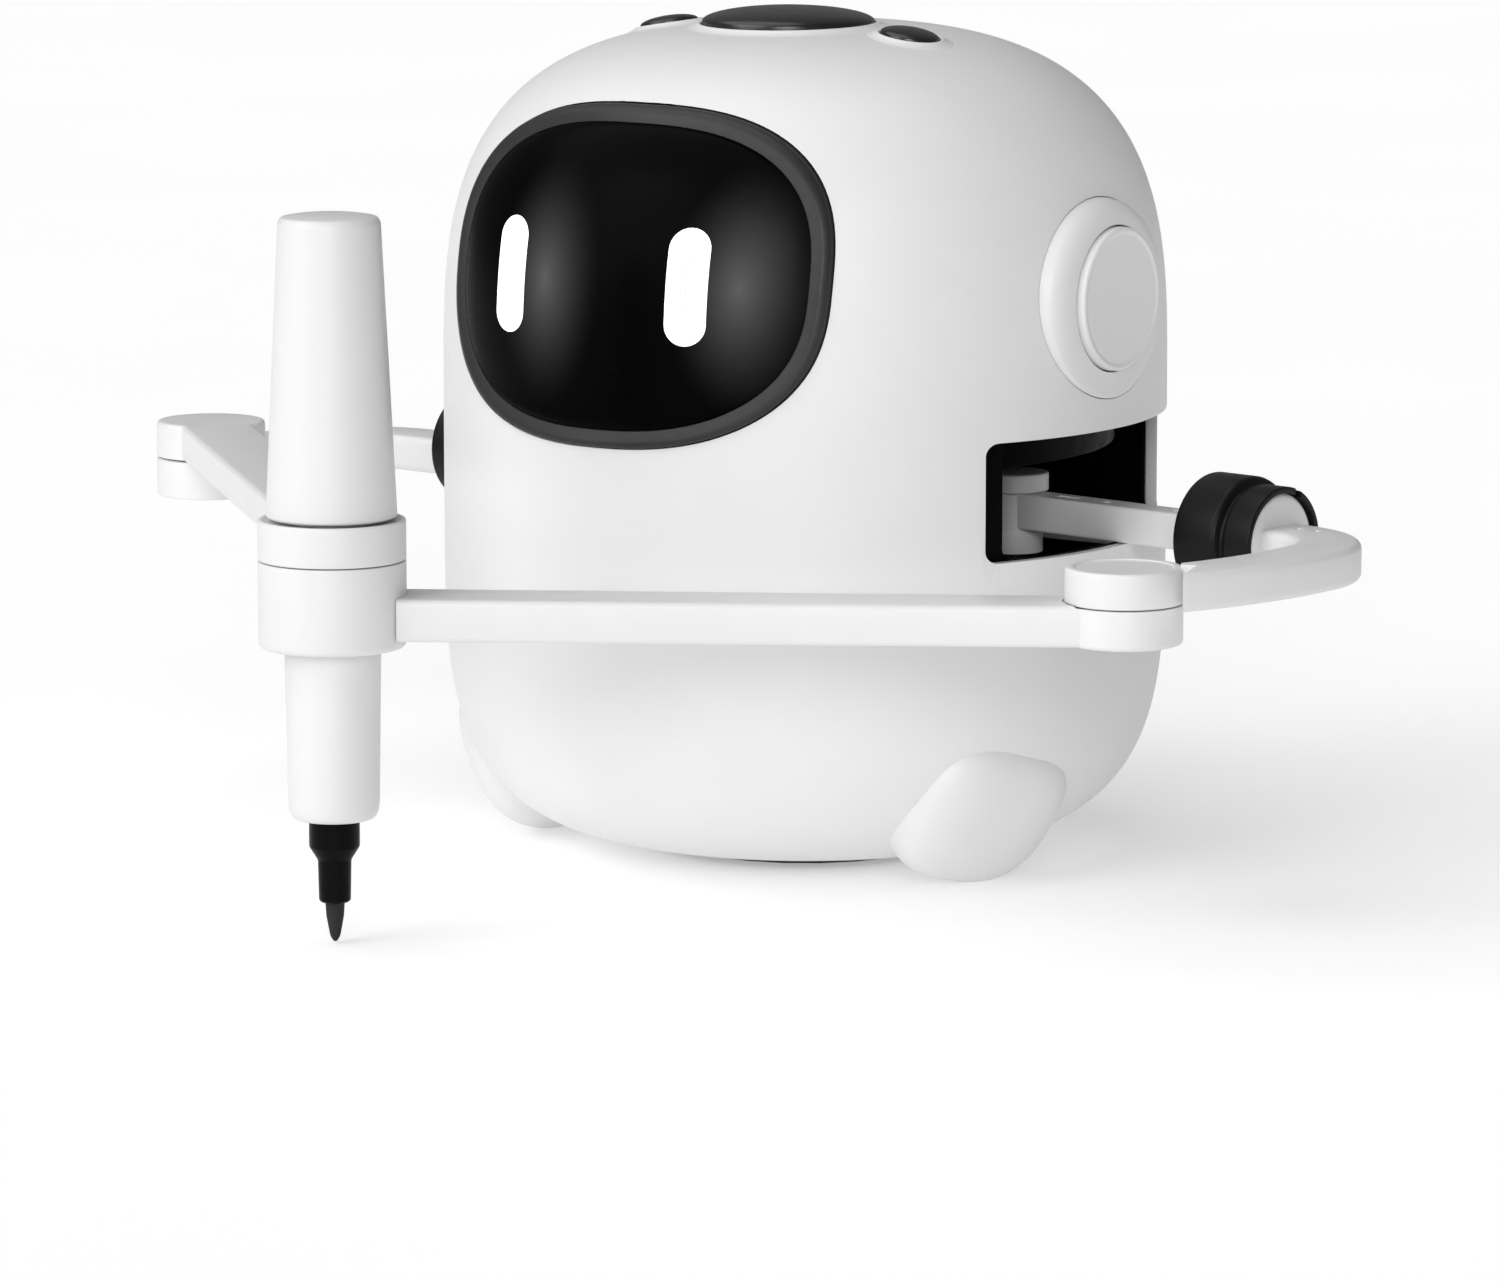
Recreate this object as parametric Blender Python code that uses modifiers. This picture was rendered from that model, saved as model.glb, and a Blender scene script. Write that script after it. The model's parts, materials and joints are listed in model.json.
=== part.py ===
"""Desktop drawing robot: an egg-shaped body with a screen face, and two linked arms that hold a marker.

Units are metres, +Z is up, the robot faces -Y, and the origin is on the body's axis at the table.
"""

import math

import bmesh
import bpy
from mathutils import Matrix, Vector

MM = 0.001
GAP = 0.3 * MM

# Body: a dome on a bowl, both superellipse profiles turned about Z.
BODY_RADIUS = 65.0 * MM
BODY_TOP = 148.7 * MM
DOME_START = 84.3 * MM
DOME_HEIGHT_POWER = 3.16
DOME_RADIUS_POWER = 3.015
BOWL_START = 66.1 * MM
BOWL_BOTTOM = 2.4 * MM
BOWL_HEIGHT_POWER = 4.32
BOWL_RADIUS_POWER = 2.35
BASE_RADIUS = 27.0 * MM
WALL = 1.8 * MM
SPLIT_Y = 40.0 * MM

# Arm windows in both sides of the body.
WINDOW_ANGLE = math.radians(98.5)
WINDOW_HALF_ANGLE = math.radians(35.8)
WINDOW_LOW = 59.0 * MM
WINDOW_HIGH = 80.0 * MM
WINDOW_CORNER = 2.0 * MM

# Face.
FACE_CENTRE_Z = 109.0 * MM
FACE_POWER = 2.6
BEZEL_HALF = (39.4 * MM, 29.1 * MM)
SCREEN_HALF = (36.8 * MM, 26.3 * MM)
EYE_X = 18.7 * MM
EYE_Z = 107.8 * MM
EYE_WIDTH = 8.4 * MM
EYE_HEIGHT = 20.4 * MM

# Ears.
EAR_Z = 103.0 * MM
EAR_RING_RADIUS = 18.0 * MM
EAR_CAP_RADIUS = 12.6 * MM
EAR_RIM_RADIUS = 12.9 * MM

# Top buttons.
BUTTON_Y = -5.5 * MM
BIG_BUTTON_RADIUS = 15.4 * MM
SMALL_BUTTON_X = 25.9 * MM
SMALL_BUTTON_RADIUS = 5.2 * MM
BUTTON_FLANGE_LOW = 141.8 * MM

# Feet: the left one's centre, half sizes and turns about Z, Y and X.
FOOT_CENTRE = (48.5 * MM, -18.3 * MM, 14.6 * MM)
FOOT_HALF = (8.4 * MM, 17.2 * MM, 14.9 * MM)
FOOT_TURN = (math.radians(-17.4), math.radians(26.5), math.radians(-14.0))
FOOT_POWER = 2.65

# Arms: a five-bar linkage with both shoulders inside the body.
SHOULDER_X = 37.5 * MM
SHOULDER_Y = 11.0 * MM
UPPER_ARM_REACH = 85.0 * MM
FOREARM_LENGTH = 133.0 * MM
ELBOW_TURN = math.radians(36.4)
LEFT_HEADING = math.radians(-8.5)
RIGHT_HEADING = math.radians(174.6)
BAR_HALF_WIDTH = 3.3 * MM
FOREARM_HALF_WIDTH = 6.6 * MM
HOOK_HALF_WIDTH = 5.8 * MM
HOOK_START = 62.8 * MM
HOOK_RADIUS = 18.5 * MM
HOOK_TURN = math.radians(81.5)
HOOK_END_RADIUS = 80.0 * MM
HOOK_END_TURN = math.radians(27.0)
ELBOW_RADIUS = 10.0 * MM
HUB_RADIUS = 12.5 * MM

# Heights of the stacked arm levels.
LOW_ARM = (51.5 * MM, 58.2 * MM)
LOW_BAR_TOP = 59.2 * MM
LEFT_ELBOW_LEVEL = (58.5 * MM, 64.6 * MM)
RIGHT_ELBOW_LEVEL = (58.5 * MM, 65.4 * MM)
BAR_LEVEL = (59.3 * MM, 65.7 * MM)
HOOK_LEVEL = (58.5 * MM, 65.2 * MM)
HIGH_ARM = (65.7 * MM, 72.2 * MM)
HUB_LOWER = (50.7 * MM, 65.4 * MM)
HUB_UPPER = (65.7 * MM, 72.4 * MM)

# The coil that lifts the carriage.
LIFT_PLACE = (0.0, 10.0 * MM)

# Cuffs round the upper arms.
CUFF_START = 46.0 * MM
CUFF_STEP = 55.8 * MM
CUFF_END = 62.0 * MM
RIGHT_CUFF_SHIFT = -11.6 * MM
CUFF_RADIUS = 11.1 * MM
CUFF_END_RADIUS = 9.9 * MM
CUFF_BORE = 8.8 * MM
CUFF_Z = 62.3 * MM
DISC_RADIUS = 8.5 * MM

# Pen, sleeve and pivots.
SLEEVE_TOP_RADIUS = 7.8 * MM
HUB_BORE = 8.1 * MM
PIN_RADIUS = 3.0 * MM
OPEN_PIN_RADIUS = 2.2 * MM
OPEN_SOCKET_RADIUS = 4.0 * MM

BODY_SIDES = 44
FINE_SIDES = 30
ROUND_SIDES = 22
SMALL_SIDES = 12

WHITE = ("white_plastic", (0.86, 0.86, 0.86), 0.45, 0.0)
BLACK = ("black_plastic", (0.015, 0.015, 0.016), 0.4, 0.0)
FRAME_GREY = ("bezel_grey", (0.045, 0.046, 0.05), 0.5, 0.0)
SCREEN = ("screen_black", (0.004, 0.004, 0.005), 0.08, 0.0)
EYE = ("eye_white", (0.95, 0.95, 0.95), 0.35, 0.0)
STEEL = ("steel", (0.6, 0.6, 0.62), 0.3, 1.0)
BOARD = ("board_green", (0.03, 0.16, 0.07), 0.5, 0.0)
RUBBER = ("rubber", (0.03, 0.03, 0.03), 0.85, 0.0)
CELL = ("battery_wrap", (0.05, 0.12, 0.32), 0.4, 0.0)
FELT = ("felt_tip", (0.01, 0.01, 0.01), 0.9, 0.0)


# Scene and materials

def clear_scene():
    for item in list(bpy.data.objects):
        bpy.data.objects.remove(item, do_unlink=True)


def new_collection(name):
    collection = bpy.data.collections.new(name)
    bpy.context.scene.collection.children.link(collection)
    return collection


def material(look):
    name, colour, roughness, metallic = look
    made = bpy.data.materials.get(name)
    if made:
        return made
    made = bpy.data.materials.new(name)
    made.use_nodes = True
    shader = made.node_tree.nodes["Principled BSDF"]
    shader.inputs["Base Color"].default_value = (*colour, 1.0)
    shader.inputs["Roughness"].default_value = roughness
    shader.inputs["Metallic"].default_value = metallic
    made.diffuse_color = (*colour, 1.0)
    return made


def add_object(name, mesh, look=None):
    """Link a mesh as a part when it has a look, and as a hidden cutter when it has none."""
    made = bpy.data.objects.new(name, mesh)
    if look is None:
        CUTTERS.objects.link(made)
        made.hide_render = True
        made.display_type = "WIRE"
        return made
    PARTS.objects.link(made)
    mesh.materials.append(material(look))
    mesh.shade_smooth()
    mesh.set_sharp_from_angle(angle=math.radians(35.0))
    return made


def move_origin(made, point):
    """Put an object's origin on a point without moving its shape."""
    made.data.transform(Matrix.Translation(-Vector(point)))
    made.location = point


# Shapes

def mesh_from_bmesh(name, shape):
    bmesh.ops.recalc_face_normals(shape, faces=shape.faces)
    mesh = bpy.data.meshes.new(name)
    shape.to_mesh(mesh)
    shape.free()
    return mesh


def box(name, low, high, look=None, round_by=0.0):
    shape = bmesh.new()
    bmesh.ops.create_cube(shape, size=1.0)
    low = Vector(low)
    high = Vector(high)
    bmesh.ops.scale(shape, vec=high - low, verts=shape.verts)
    bmesh.ops.translate(shape, vec=(low + high) / 2, verts=shape.verts)
    made = add_object(name, mesh_from_bmesh(name, shape), look)
    if round_by:
        bevel(made, round_by)
    return made


def cylinder(name, centre, radius, low, high, look=None, sides=ROUND_SIDES):
    shape = bmesh.new()
    bmesh.ops.create_cone(
        shape,
        cap_ends=True,
        segments=sides,
        radius1=radius,
        radius2=radius,
        depth=high - low,
    )
    bmesh.ops.translate(shape, vec=(centre[0], centre[1], (low + high) / 2), verts=shape.verts)
    return add_object(name, mesh_from_bmesh(name, shape), look)


def turned(name, outline, look=None, centre=(0.0, 0.0, 0.0), sides=ROUND_SIDES, closed=False, axis=None):
    """Turn an outline of (radius, height) points, which runs down its outer side, about Z or another axis."""
    mesh = bpy.data.meshes.new(name)
    points = [(radius, 0.0, height) for radius, height in outline]
    edges = [(i, i + 1) for i in range(len(points) - 1)]
    if closed:
        edges.append((len(points) - 1, 0))
    mesh.from_pydata(points, edges, [])
    made = add_object(name, mesh, look)
    made.location = centre
    if axis is not None:
        made.rotation_euler = Vector(axis).to_track_quat("Z", "Y").to_euler()
    screw = made.modifiers.new("Screw", "SCREW")
    screw.steps = sides
    screw.render_steps = sides
    screw.use_merge_vertices = True
    screw.merge_threshold = 0.00001
    return made


def plate(name, outline, low, high, look=None):
    """A flat outline in XY with a thickness from low to high."""
    curve = bpy.data.curves.new(name, "CURVE")
    curve.dimensions = "2D"
    curve.fill_mode = "BOTH"
    curve.extrude = (high - low) / 2
    spline = curve.splines.new("POLY")
    spline.points.add(len(outline) - 1)
    for point, (x, y) in zip(spline.points, outline):
        point.co = (x, y, 0.0, 1.0)
    spline.use_cyclic_u = True
    rough = bpy.data.objects.new(name + "_outline", curve)
    rough.location.z = (low + high) / 2
    bpy.context.scene.collection.objects.link(rough)
    bpy.context.view_layer.update()
    graph = bpy.context.evaluated_depsgraph_get()
    mesh = bpy.data.meshes.new_from_object(rough.evaluated_get(graph))
    mesh.transform(rough.matrix_world)
    bpy.data.objects.remove(rough, do_unlink=True)
    shape = bmesh.new()
    shape.from_mesh(mesh)
    bmesh.ops.remove_doubles(shape, verts=shape.verts, dist=0.000001)
    bpy.data.meshes.remove(mesh)
    return add_object(name, mesh_from_bmesh(name, shape), look)


def bevel(made, width, segments=1, angle=40.0):
    rounding = made.modifiers.new("Bevel", "BEVEL")
    rounding.width = width
    rounding.segments = segments
    rounding.limit_method = "ANGLE"
    rounding.angle_limit = math.radians(angle)
    return made


def boolean(made, other, operation):
    step = made.modifiers.new(operation.title(), "BOOLEAN")
    step.operation = operation
    step.object = other
    step.solver = "EXACT"
    return made


def cut(made, other):
    return boolean(made, other, "DIFFERENCE")


def join(made, other):
    return boolean(made, other, "UNION")


def keep(made, other):
    return boolean(made, other, "INTERSECT")


# Body profile

def dome_point(turn, offset):
    """A point of the dome: turn goes from 0 at the equator to 90 degrees at the top."""
    height = math.sin(turn) ** (2 / DOME_HEIGHT_POWER)
    radius = max(math.cos(turn), 0.0) ** (2 / DOME_RADIUS_POWER)
    z = DOME_START + (BODY_TOP + offset - DOME_START) * height
    return ((BODY_RADIUS + offset) * radius, z)


def dome_radius(z, offset=0.0):
    part = max(0.0, (z - DOME_START) / (BODY_TOP + offset - DOME_START))
    return (BODY_RADIUS + offset) * (1 - part ** DOME_HEIGHT_POWER) ** (1 / DOME_RADIUS_POWER)


def bowl_radius(z, offset=0.0):
    part = min(1.0, max(0.0, (BOWL_START - z) / (BOWL_START - BOWL_BOTTOM + offset)))
    swell = (1 - part ** BOWL_HEIGHT_POWER) ** (1 / BOWL_RADIUS_POWER)
    return BASE_RADIUS + (BODY_RADIUS + offset - BASE_RADIUS) * swell


def dome_outline(offset, steps):
    """From the top pole down to the equator."""
    points = [dome_point(math.pi / 2 * (1 - i / steps), offset) for i in range(steps + 1)]
    points[0] = (0.0, points[0][1])
    return points


def bowl_outline(offset, steps):
    """From the bowl's start down to the edge of the base."""
    drop = BOWL_START - BOWL_BOTTOM + offset
    points = []
    for i in range(steps + 1):
        height = math.sin(math.pi / 2 * i / steps) ** (2 / BOWL_HEIGHT_POWER)
        swell = max(math.cos(math.pi / 2 * i / steps), 0.0) ** (2 / BOWL_RADIUS_POWER)
        radius = BASE_RADIUS + (BODY_RADIUS + offset - BASE_RADIUS) * swell
        points.append((radius, BOWL_START - drop * height))
    return points


def shell_outline():
    outer = dome_outline(0.0, 12) + bowl_outline(0.0, 8)
    inner = dome_outline(-WALL, 7) + bowl_outline(-WALL, 6)
    return outer + inner[::-1]


def superellipse(half_width, half_height, centre_z, count=44):
    """A rounded outline in XZ."""
    points = []
    for i in range(count):
        turn = 2 * math.pi * i / count
        across = abs(math.cos(turn)) ** (2 / FACE_POWER)
        up = abs(math.sin(turn)) ** (2 / FACE_POWER)
        x = math.copysign(half_width * across, math.cos(turn))
        z = math.copysign(half_height * up, math.sin(turn))
        points.append((x, centre_z + z))
    return points


def pill(centre_x, centre_z, width, height, count=18):
    """A slot outline with round ends in XZ."""
    radius = width / 2
    straight = height / 2 - radius
    points = []
    for i in range(count):
        turn = 2 * math.pi * (i + 0.5) / count
        lift = math.copysign(straight, math.sin(turn))
        points.append((centre_x + radius * math.cos(turn), centre_z + lift + radius * math.sin(turn)))
    return points


def facing_prism(name, outline, low=28.0 * MM, high=90.0 * MM):
    """An outline in XZ pushed along -Y, so that it passes through the front of the body."""
    made = plate(name, outline, low, high)
    made.data.transform(Matrix.Rotation(math.radians(90.0), 4, "X"))
    return made


# Body pieces

def window_cutter(side):
    name = "window_cutter_right" if side > 0 else "window_cutter_left"
    half = BODY_RADIUS * math.sin(WINDOW_HALF_ANGLE)
    made = box(name, (-half, 40 * MM, WINDOW_LOW), (half, 84 * MM, WINDOW_HIGH))
    bevel(made, WINDOW_CORNER, segments=3)
    made.rotation_euler.z = side * (WINDOW_ANGLE + math.pi)
    return made


def make_shells():
    front = turned("front_shell", shell_outline(), WHITE, sides=BODY_SIDES)
    rear = turned("rear_shell", shell_outline(), WHITE, sides=BODY_SIDES)
    reach = 90 * MM
    cut(front, box("front_split", (-reach, SPLIT_Y, -reach), (reach, 2 * reach, 2 * reach)))
    cut(rear, box("rear_split", (-reach, -reach, -reach), (reach, SPLIT_Y + GAP, 2 * reach)))
    for side in (1, -1):
        cutter = window_cutter(side)
        cut(front, cutter)
        cut(rear, cutter)
        hole = cylinder("ear_hole", (0, 0), EAR_RING_RADIUS + GAP, 40 * MM, 80 * MM, sides=FINE_SIDES)
        hole.rotation_euler.y = side * math.pi / 2
        hole.location.z = EAR_Z
        cut(front, hole)
    opening = (BEZEL_HALF[0] + GAP, BEZEL_HALF[1] + GAP)
    cut(front, facing_prism("face_opening", superellipse(*opening, FACE_CENTRE_Z)))
    for x, radius in button_places():
        cut(front, cylinder("button_hole", (x, BUTTON_Y), radius + GAP, 138 * MM, 160 * MM))
    slot_low = (-5.1 * MM, 50 * MM, 17.9 * MM)
    slot_high = (5.1 * MM, 70 * MM, 22.1 * MM)
    cut(rear, box("charge_slot", slot_low, slot_high, round_by=1.5 * MM))
    for x, z in screw_places():
        hole = cylinder("screw_hole", (0, 0), 2.7 * MM, -80 * MM, -30 * MM, sides=SMALL_SIDES)
        hole.rotation_euler.x = math.pi / 2
        hole.location = (x, 0, z)
        cut(rear, hole)


def face_layer(name, offset, depth, look):
    """A layer of the dome's own surface between two offsets, in front of the face opening."""
    outer = dome_outline(offset, 13)
    inner = dome_outline(offset - depth, 7)
    floor = 70 * MM
    outline = outer + [(outer[-1][0], floor), (inner[-1][0], floor)] + inner[::-1]
    return turned(name, outline, look, sides=BODY_SIDES)


def make_face():
    bezel = face_layer("face_bezel", 0.9 * MM, 4.0 * MM, FRAME_GREY)
    keep(bezel, facing_prism("bezel_outside", superellipse(*BEZEL_HALF, FACE_CENTRE_Z)))
    inside = (SCREEN_HALF[0] + GAP, SCREEN_HALF[1] + GAP)
    cut(bezel, facing_prism("bezel_inside", superellipse(*inside, FACE_CENTRE_Z)))
    screen = face_layer("face_screen", 1.6 * MM, 3.6 * MM, SCREEN)
    keep(screen, facing_prism("screen_outside", superellipse(*SCREEN_HALF, FACE_CENTRE_Z)))
    for side, name in ((1, "left_eye"), (-1, "right_eye")):
        slot = pill(side * EYE_X, EYE_Z, EYE_WIDTH + 2 * GAP, EYE_HEIGHT + 2 * GAP)
        cut(screen, facing_prism(name + "_slot", slot))
        eye = face_layer(name, 1.65 * MM, 3.0 * MM, EYE)
        keep(eye, facing_prism(name + "_shape", pill(side * EYE_X, EYE_Z, EYE_WIDTH, EYE_HEIGHT)))
    board = box("eye_board", (-25 * MM, -50 * MM, 95 * MM), (25 * MM, -48.4 * MM, 121 * MM), BOARD)
    for side in (1, -1):
        low = (side * EYE_X - 2.5 * MM, -52 * MM, EYE_Z - 7 * MM)
        high = (side * EYE_X + 2.5 * MM, -49 * MM, EYE_Z + 7 * MM)
        join(board, box("eye_lamp", low, high))


def ear_ring_outline():
    return [
        (EAR_RIM_RADIUS, 65.4 * MM),
        (14.4 * MM, 65.3 * MM),
        (16.2 * MM, 64.7 * MM),
        (17.4 * MM, 63.6 * MM),
        (EAR_RING_RADIUS, 62.4 * MM),
        (EAR_RING_RADIUS, 57.5 * MM),
        (EAR_RIM_RADIUS, 57.5 * MM),
    ]


def ear_cap_outline():
    return [
        (0.0, 66.6 * MM),
        (11.2 * MM, 66.6 * MM),
        (11.8 * MM, 66.9 * MM),
        (12.3 * MM, 66.8 * MM),
        (EAR_CAP_RADIUS, 66.3 * MM),
        (EAR_CAP_RADIUS, 58.5 * MM),
        (0.0, 58.5 * MM),
    ]


def make_ears():
    for side, name in ((1, "left"), (-1, "right")):
        axis = (side, 0, 0)
        centre = (0, 0, EAR_Z)
        turned(name + "_ear_ring", ear_ring_outline(), WHITE, centre, FINE_SIDES, closed=True, axis=axis)
        turned(name + "_ear_cap", ear_cap_outline(), WHITE, centre, ROUND_SIDES, axis=axis)


def button_places():
    return [
        (0.0, BIG_BUTTON_RADIUS),
        (SMALL_BUTTON_X, SMALL_BUTTON_RADIUS),
        (-SMALL_BUTTON_X, SMALL_BUTTON_RADIUS),
    ]


def button_outline(radius, edge, crown):
    """A domed cap on a stem, with a flange under the shell."""
    top = edge + crown
    points = [(0.0, top)]
    for i in range(1, 4):
        turn = math.pi / 2 * i / 3
        points.append((radius * math.sin(turn), edge + crown * math.cos(turn)))
    flange = radius + 1.1 * MM
    flange_high = BUTTON_FLANGE_LOW + 1.2 * MM
    points += [(radius, flange_high), (flange, flange_high)]
    points += [(flange, BUTTON_FLANGE_LOW), (0.0, BUTTON_FLANGE_LOW)]
    return points


def make_buttons():
    names = ("main_button", "left_button", "right_button")
    for name, (x, radius) in zip(names, button_places()):
        edge = dome_edge_height(math.hypot(x, BUTTON_Y)) + 0.2 * MM
        crown = 1.9 * MM if x == 0 else 1.2 * MM
        turned(name, button_outline(radius, edge, crown), BLACK, (x, BUTTON_Y, 0), 24)
    board = box("button_board", (-33 * MM, -15 * MM, 137.6 * MM), (33 * MM, 8 * MM, 139.2 * MM), BOARD)
    for x, _ in button_places():
        join(board, cylinder("switch_cap", (x, BUTTON_Y), 2.2 * MM, 139 * MM, 140.5 * MM, sides=SMALL_SIDES))


def dome_edge_height(radius):
    part = (1 - (radius / BODY_RADIUS) ** DOME_RADIUS_POWER) ** (1 / DOME_HEIGHT_POWER)
    return DOME_START + (BODY_TOP - DOME_START) * part


def make_base():
    edge = BASE_RADIUS - GAP
    plate_top = BOWL_BOTTOM + WALL
    plate_outline = [(0.0, plate_top), (edge, plate_top), (edge, BOWL_BOTTOM), (0.0, BOWL_BOTTOM)]
    turned("base_plate", plate_outline, BLACK)
    pad_top = BOWL_BOTTOM - GAP
    turned(
        "base_pad",
        [(0.0, pad_top), (24 * MM, pad_top), (24 * MM, 0.6 * MM), (23.4 * MM, 0.0), (0.0, 0.0)],
        RUBBER,
    )
    for side, name in ((1, "left_foot"), (-1, "right_foot")):
        make_foot(name, side)


def make_foot(name, side):
    """A flipper that leans out along the bowl: a squared ball, flat where it stands."""
    shape = bmesh.new()
    bmesh.ops.create_uvsphere(shape, u_segments=24, v_segments=14, radius=1.0)
    for vert in shape.verts:
        swell = sum(abs(value) ** FOOT_POWER for value in vert.co) ** (-1 / FOOT_POWER)
        vert.co = Vector(half * value * swell for half, value in zip(FOOT_HALF, vert.co))
    toe, lean, roll = FOOT_TURN
    turn = Matrix.Rotation(toe, 4, "Z") @ Matrix.Rotation(lean, 4, "Y") @ Matrix.Rotation(roll, 4, "X")
    shape.transform(Matrix.Scale(side, 4, (1, 0, 0)) @ Matrix.Translation(FOOT_CENTRE) @ turn)
    made = add_object(name, mesh_from_bmesh(name, shape), WHITE)
    reach = 60 * MM
    cut(made, box(name + "_floor", (-2 * reach, -2 * reach, -reach), (2 * reach, 2 * reach, 0.0)))
    seat = [(0.0, 70 * MM)] + bowl_seat_outline() + [(0.0, -5 * MM)]
    cut(made, turned(name + "_seat", seat, sides=BODY_SIDES))


def bowl_seat_outline():
    """The bowl grown by the gap, closed below the floor, for cutting the feet to fit."""
    drop = bowl_outline(GAP, 12)
    drop[-1] = (BASE_RADIUS, BOWL_BOTTOM - GAP)
    return [(BODY_RADIUS + GAP, 70 * MM)] + drop + [(24.5 * MM, BOWL_BOTTOM - GAP), (24.5 * MM, -5 * MM)]


def screw_places():
    return [(27 * MM, 36 * MM), (-27 * MM, 36 * MM), (27 * MM, 112 * MM), (-27 * MM, 112 * MM)]


def make_shell_screws():
    for number, (x, z) in enumerate(screw_places(), start=1):
        outside = dome_radius(z) if z > DOME_START else bowl_radius(z)
        face = math.sqrt(outside ** 2 - x ** 2) - 1.5 * MM
        outline = [
            (0.0, 0.0),
            (2.4 * MM, -0.1 * MM),
            (2.4 * MM, -1.6 * MM),
            (1.25 * MM, -1.6 * MM),
            (1.25 * MM, -10 * MM),
            (0.0, -10 * MM),
        ]
        turned(f"shell_screw_{number}", outline, STEEL, (x, face, z), SMALL_SIDES, axis=(0, 1, 0))


# Pieces inside the body

def make_inside():
    tray_outline = [
        (8 * MM, 86 * MM),
        (55.6 * MM, 86 * MM),
        (55.6 * MM, 74 * MM),
        (53.4 * MM, 74 * MM),
        (53.4 * MM, 84 * MM),
        (8 * MM, 84 * MM),
    ]
    turned("head_tray", tray_outline, BLACK, sides=BODY_SIDES, closed=True)
    chassis = cylinder("chassis_plate", (0, 0), 37 * MM, 6.4 * MM, 8.4 * MM, BLACK, sides=FINE_SIDES)
    for x, y in guide_places():
        join(chassis, cylinder("rod_socket", (x, y), 4.4 * MM, 8.2 * MM, 13 * MM, sides=SMALL_SIDES))
        cut(chassis, cylinder("rod_seat", (x, y), 2.3 * MM, 9 * MM, 15 * MM, sides=SMALL_SIDES))
    for number, (x, y) in enumerate(guide_places(), start=1):
        make_guide_rod(f"guide_rod_{number}", x, y)
    box("battery_cell", (-26 * MM, -36 * MM, 9 * MM), (26 * MM, -19 * MM, 26 * MM), CELL, round_by=7 * MM)
    box("main_board", (-26 * MM, 42.4 * MM, 16 * MM), (26 * MM, 44 * MM, 52 * MM), BOARD)
    make_charge_socket()
    make_lift_motor()
    turned(
        "speaker",
        [(0.0, 8 * MM), (9 * MM, 7 * MM), (13 * MM, 8 * MM), (13 * MM, 3 * MM), (7 * MM, 0.0), (0.0, 0.0)],
        BLACK,
        (0, -46 * MM, 42 * MM),
        axis=(0, -1, 0),
    )


def guide_places():
    return [(17 * MM, 24 * MM), (-17 * MM, 24 * MM)]


def make_guide_rod(name, x, y):
    outline = [
        (0.0, 78 * MM),
        (1.6 * MM, 78 * MM),
        (2.0 * MM, 77.6 * MM),
        (2.0 * MM, 51.2 * MM),
        (3.4 * MM, 51.2 * MM),
        (3.4 * MM, 48 * MM),
        (2.0 * MM, 48 * MM),
        (2.0 * MM, 9.4 * MM),
        (0.0, 9.4 * MM),
    ]
    turned(name, outline, STEEL, (x, y, 0), SMALL_SIDES)


def make_charge_socket():
    made = box("charge_socket", (-4.5 * MM, 46 * MM, 18.4 * MM), (4.5 * MM, 54.2 * MM, 21.6 * MM), STEEL)
    hollow = box("socket_hollow", (-3.9 * MM, 48 * MM, 19 * MM), (3.9 * MM, 60 * MM, 21 * MM))
    cut(made, hollow)


def make_lift_motor():
    """The lift coil: its plunger hangs from the carriage and slides in its bore."""
    outline = [
        (3.4 * MM, 34 * MM),
        (9 * MM, 34 * MM),
        (9 * MM, 8.8 * MM),
        (0.0, 8.8 * MM),
    ]
    bore = [(0.0, 12 * MM), (3.4 * MM, 12 * MM)]
    turned("lift_coil", bore + outline, STEEL, (*LIFT_PLACE, 0))


def make_carriage():
    """The plate that carries both shoulders and slides on the guide rods."""
    low = 51.5 * MM
    high = 54.0 * MM
    made = box("lift_carriage", (-46 * MM, 2 * MM, low), (46 * MM, 33 * MM, high), BLACK, round_by=0.8 * MM)
    join(made, cylinder("plunger_boss", LIFT_PLACE, 5 * MM, low - 3 * MM, low + 1 * MM))
    join(made, cylinder("plunger", LIFT_PLACE, 3.0 * MM, 14 * MM, low - 1 * MM, sides=SMALL_SIDES))
    for x, y in guide_places():
        cut(made, cylinder("rod_hole", (x, y), 2.3 * MM, low - 5 * MM, high + 5 * MM, sides=SMALL_SIDES))
    for x in (SHOULDER_X, -SHOULDER_X):
        cut(made, cylinder("shaft_hole", (x, SHOULDER_Y), 4.6 * MM, low - 5 * MM, high + 5 * MM))
    for x, name in ((SHOULDER_X, "left"), (-SHOULDER_X, "right")):
        low_corner = (x - 6 * MM, SHOULDER_Y - 6 * MM, 29 * MM)
        high_corner = (x + 6 * MM, SHOULDER_Y + 17 * MM, low - GAP)
        motor = box(name + "_shoulder_motor", low_corner, high_corner, CELL, round_by=0.6 * MM)
        join(motor, cylinder("motor_shaft", (x, SHOULDER_Y), 4.2 * MM, low - 1 * MM, 54.6 * MM))


# Arms

class ArmFrame:
    """Plan coordinates of one upper arm: out along its bar, and forward across it."""

    def __init__(self, side):
        heading = LEFT_HEADING if side > 0 else RIGHT_HEADING
        self.cuff_shift = 0.0 if side > 0 else RIGHT_CUFF_SHIFT
        self.elbow_level = LEFT_ELBOW_LEVEL if side > 0 else RIGHT_ELBOW_LEVEL
        self.shoulder = Vector((side * SHOULDER_X, SHOULDER_Y))
        self.out = Vector((math.cos(heading), math.sin(heading)))
        self.forward = Vector((side * self.out.y, -side * self.out.x))

    def point(self, out, forward):
        return self.shoulder + self.out * out + self.forward * forward

    def elbow(self):
        return self.point(UPPER_ARM_REACH * math.cos(ELBOW_TURN), UPPER_ARM_REACH * math.sin(ELBOW_TURN))


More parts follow.
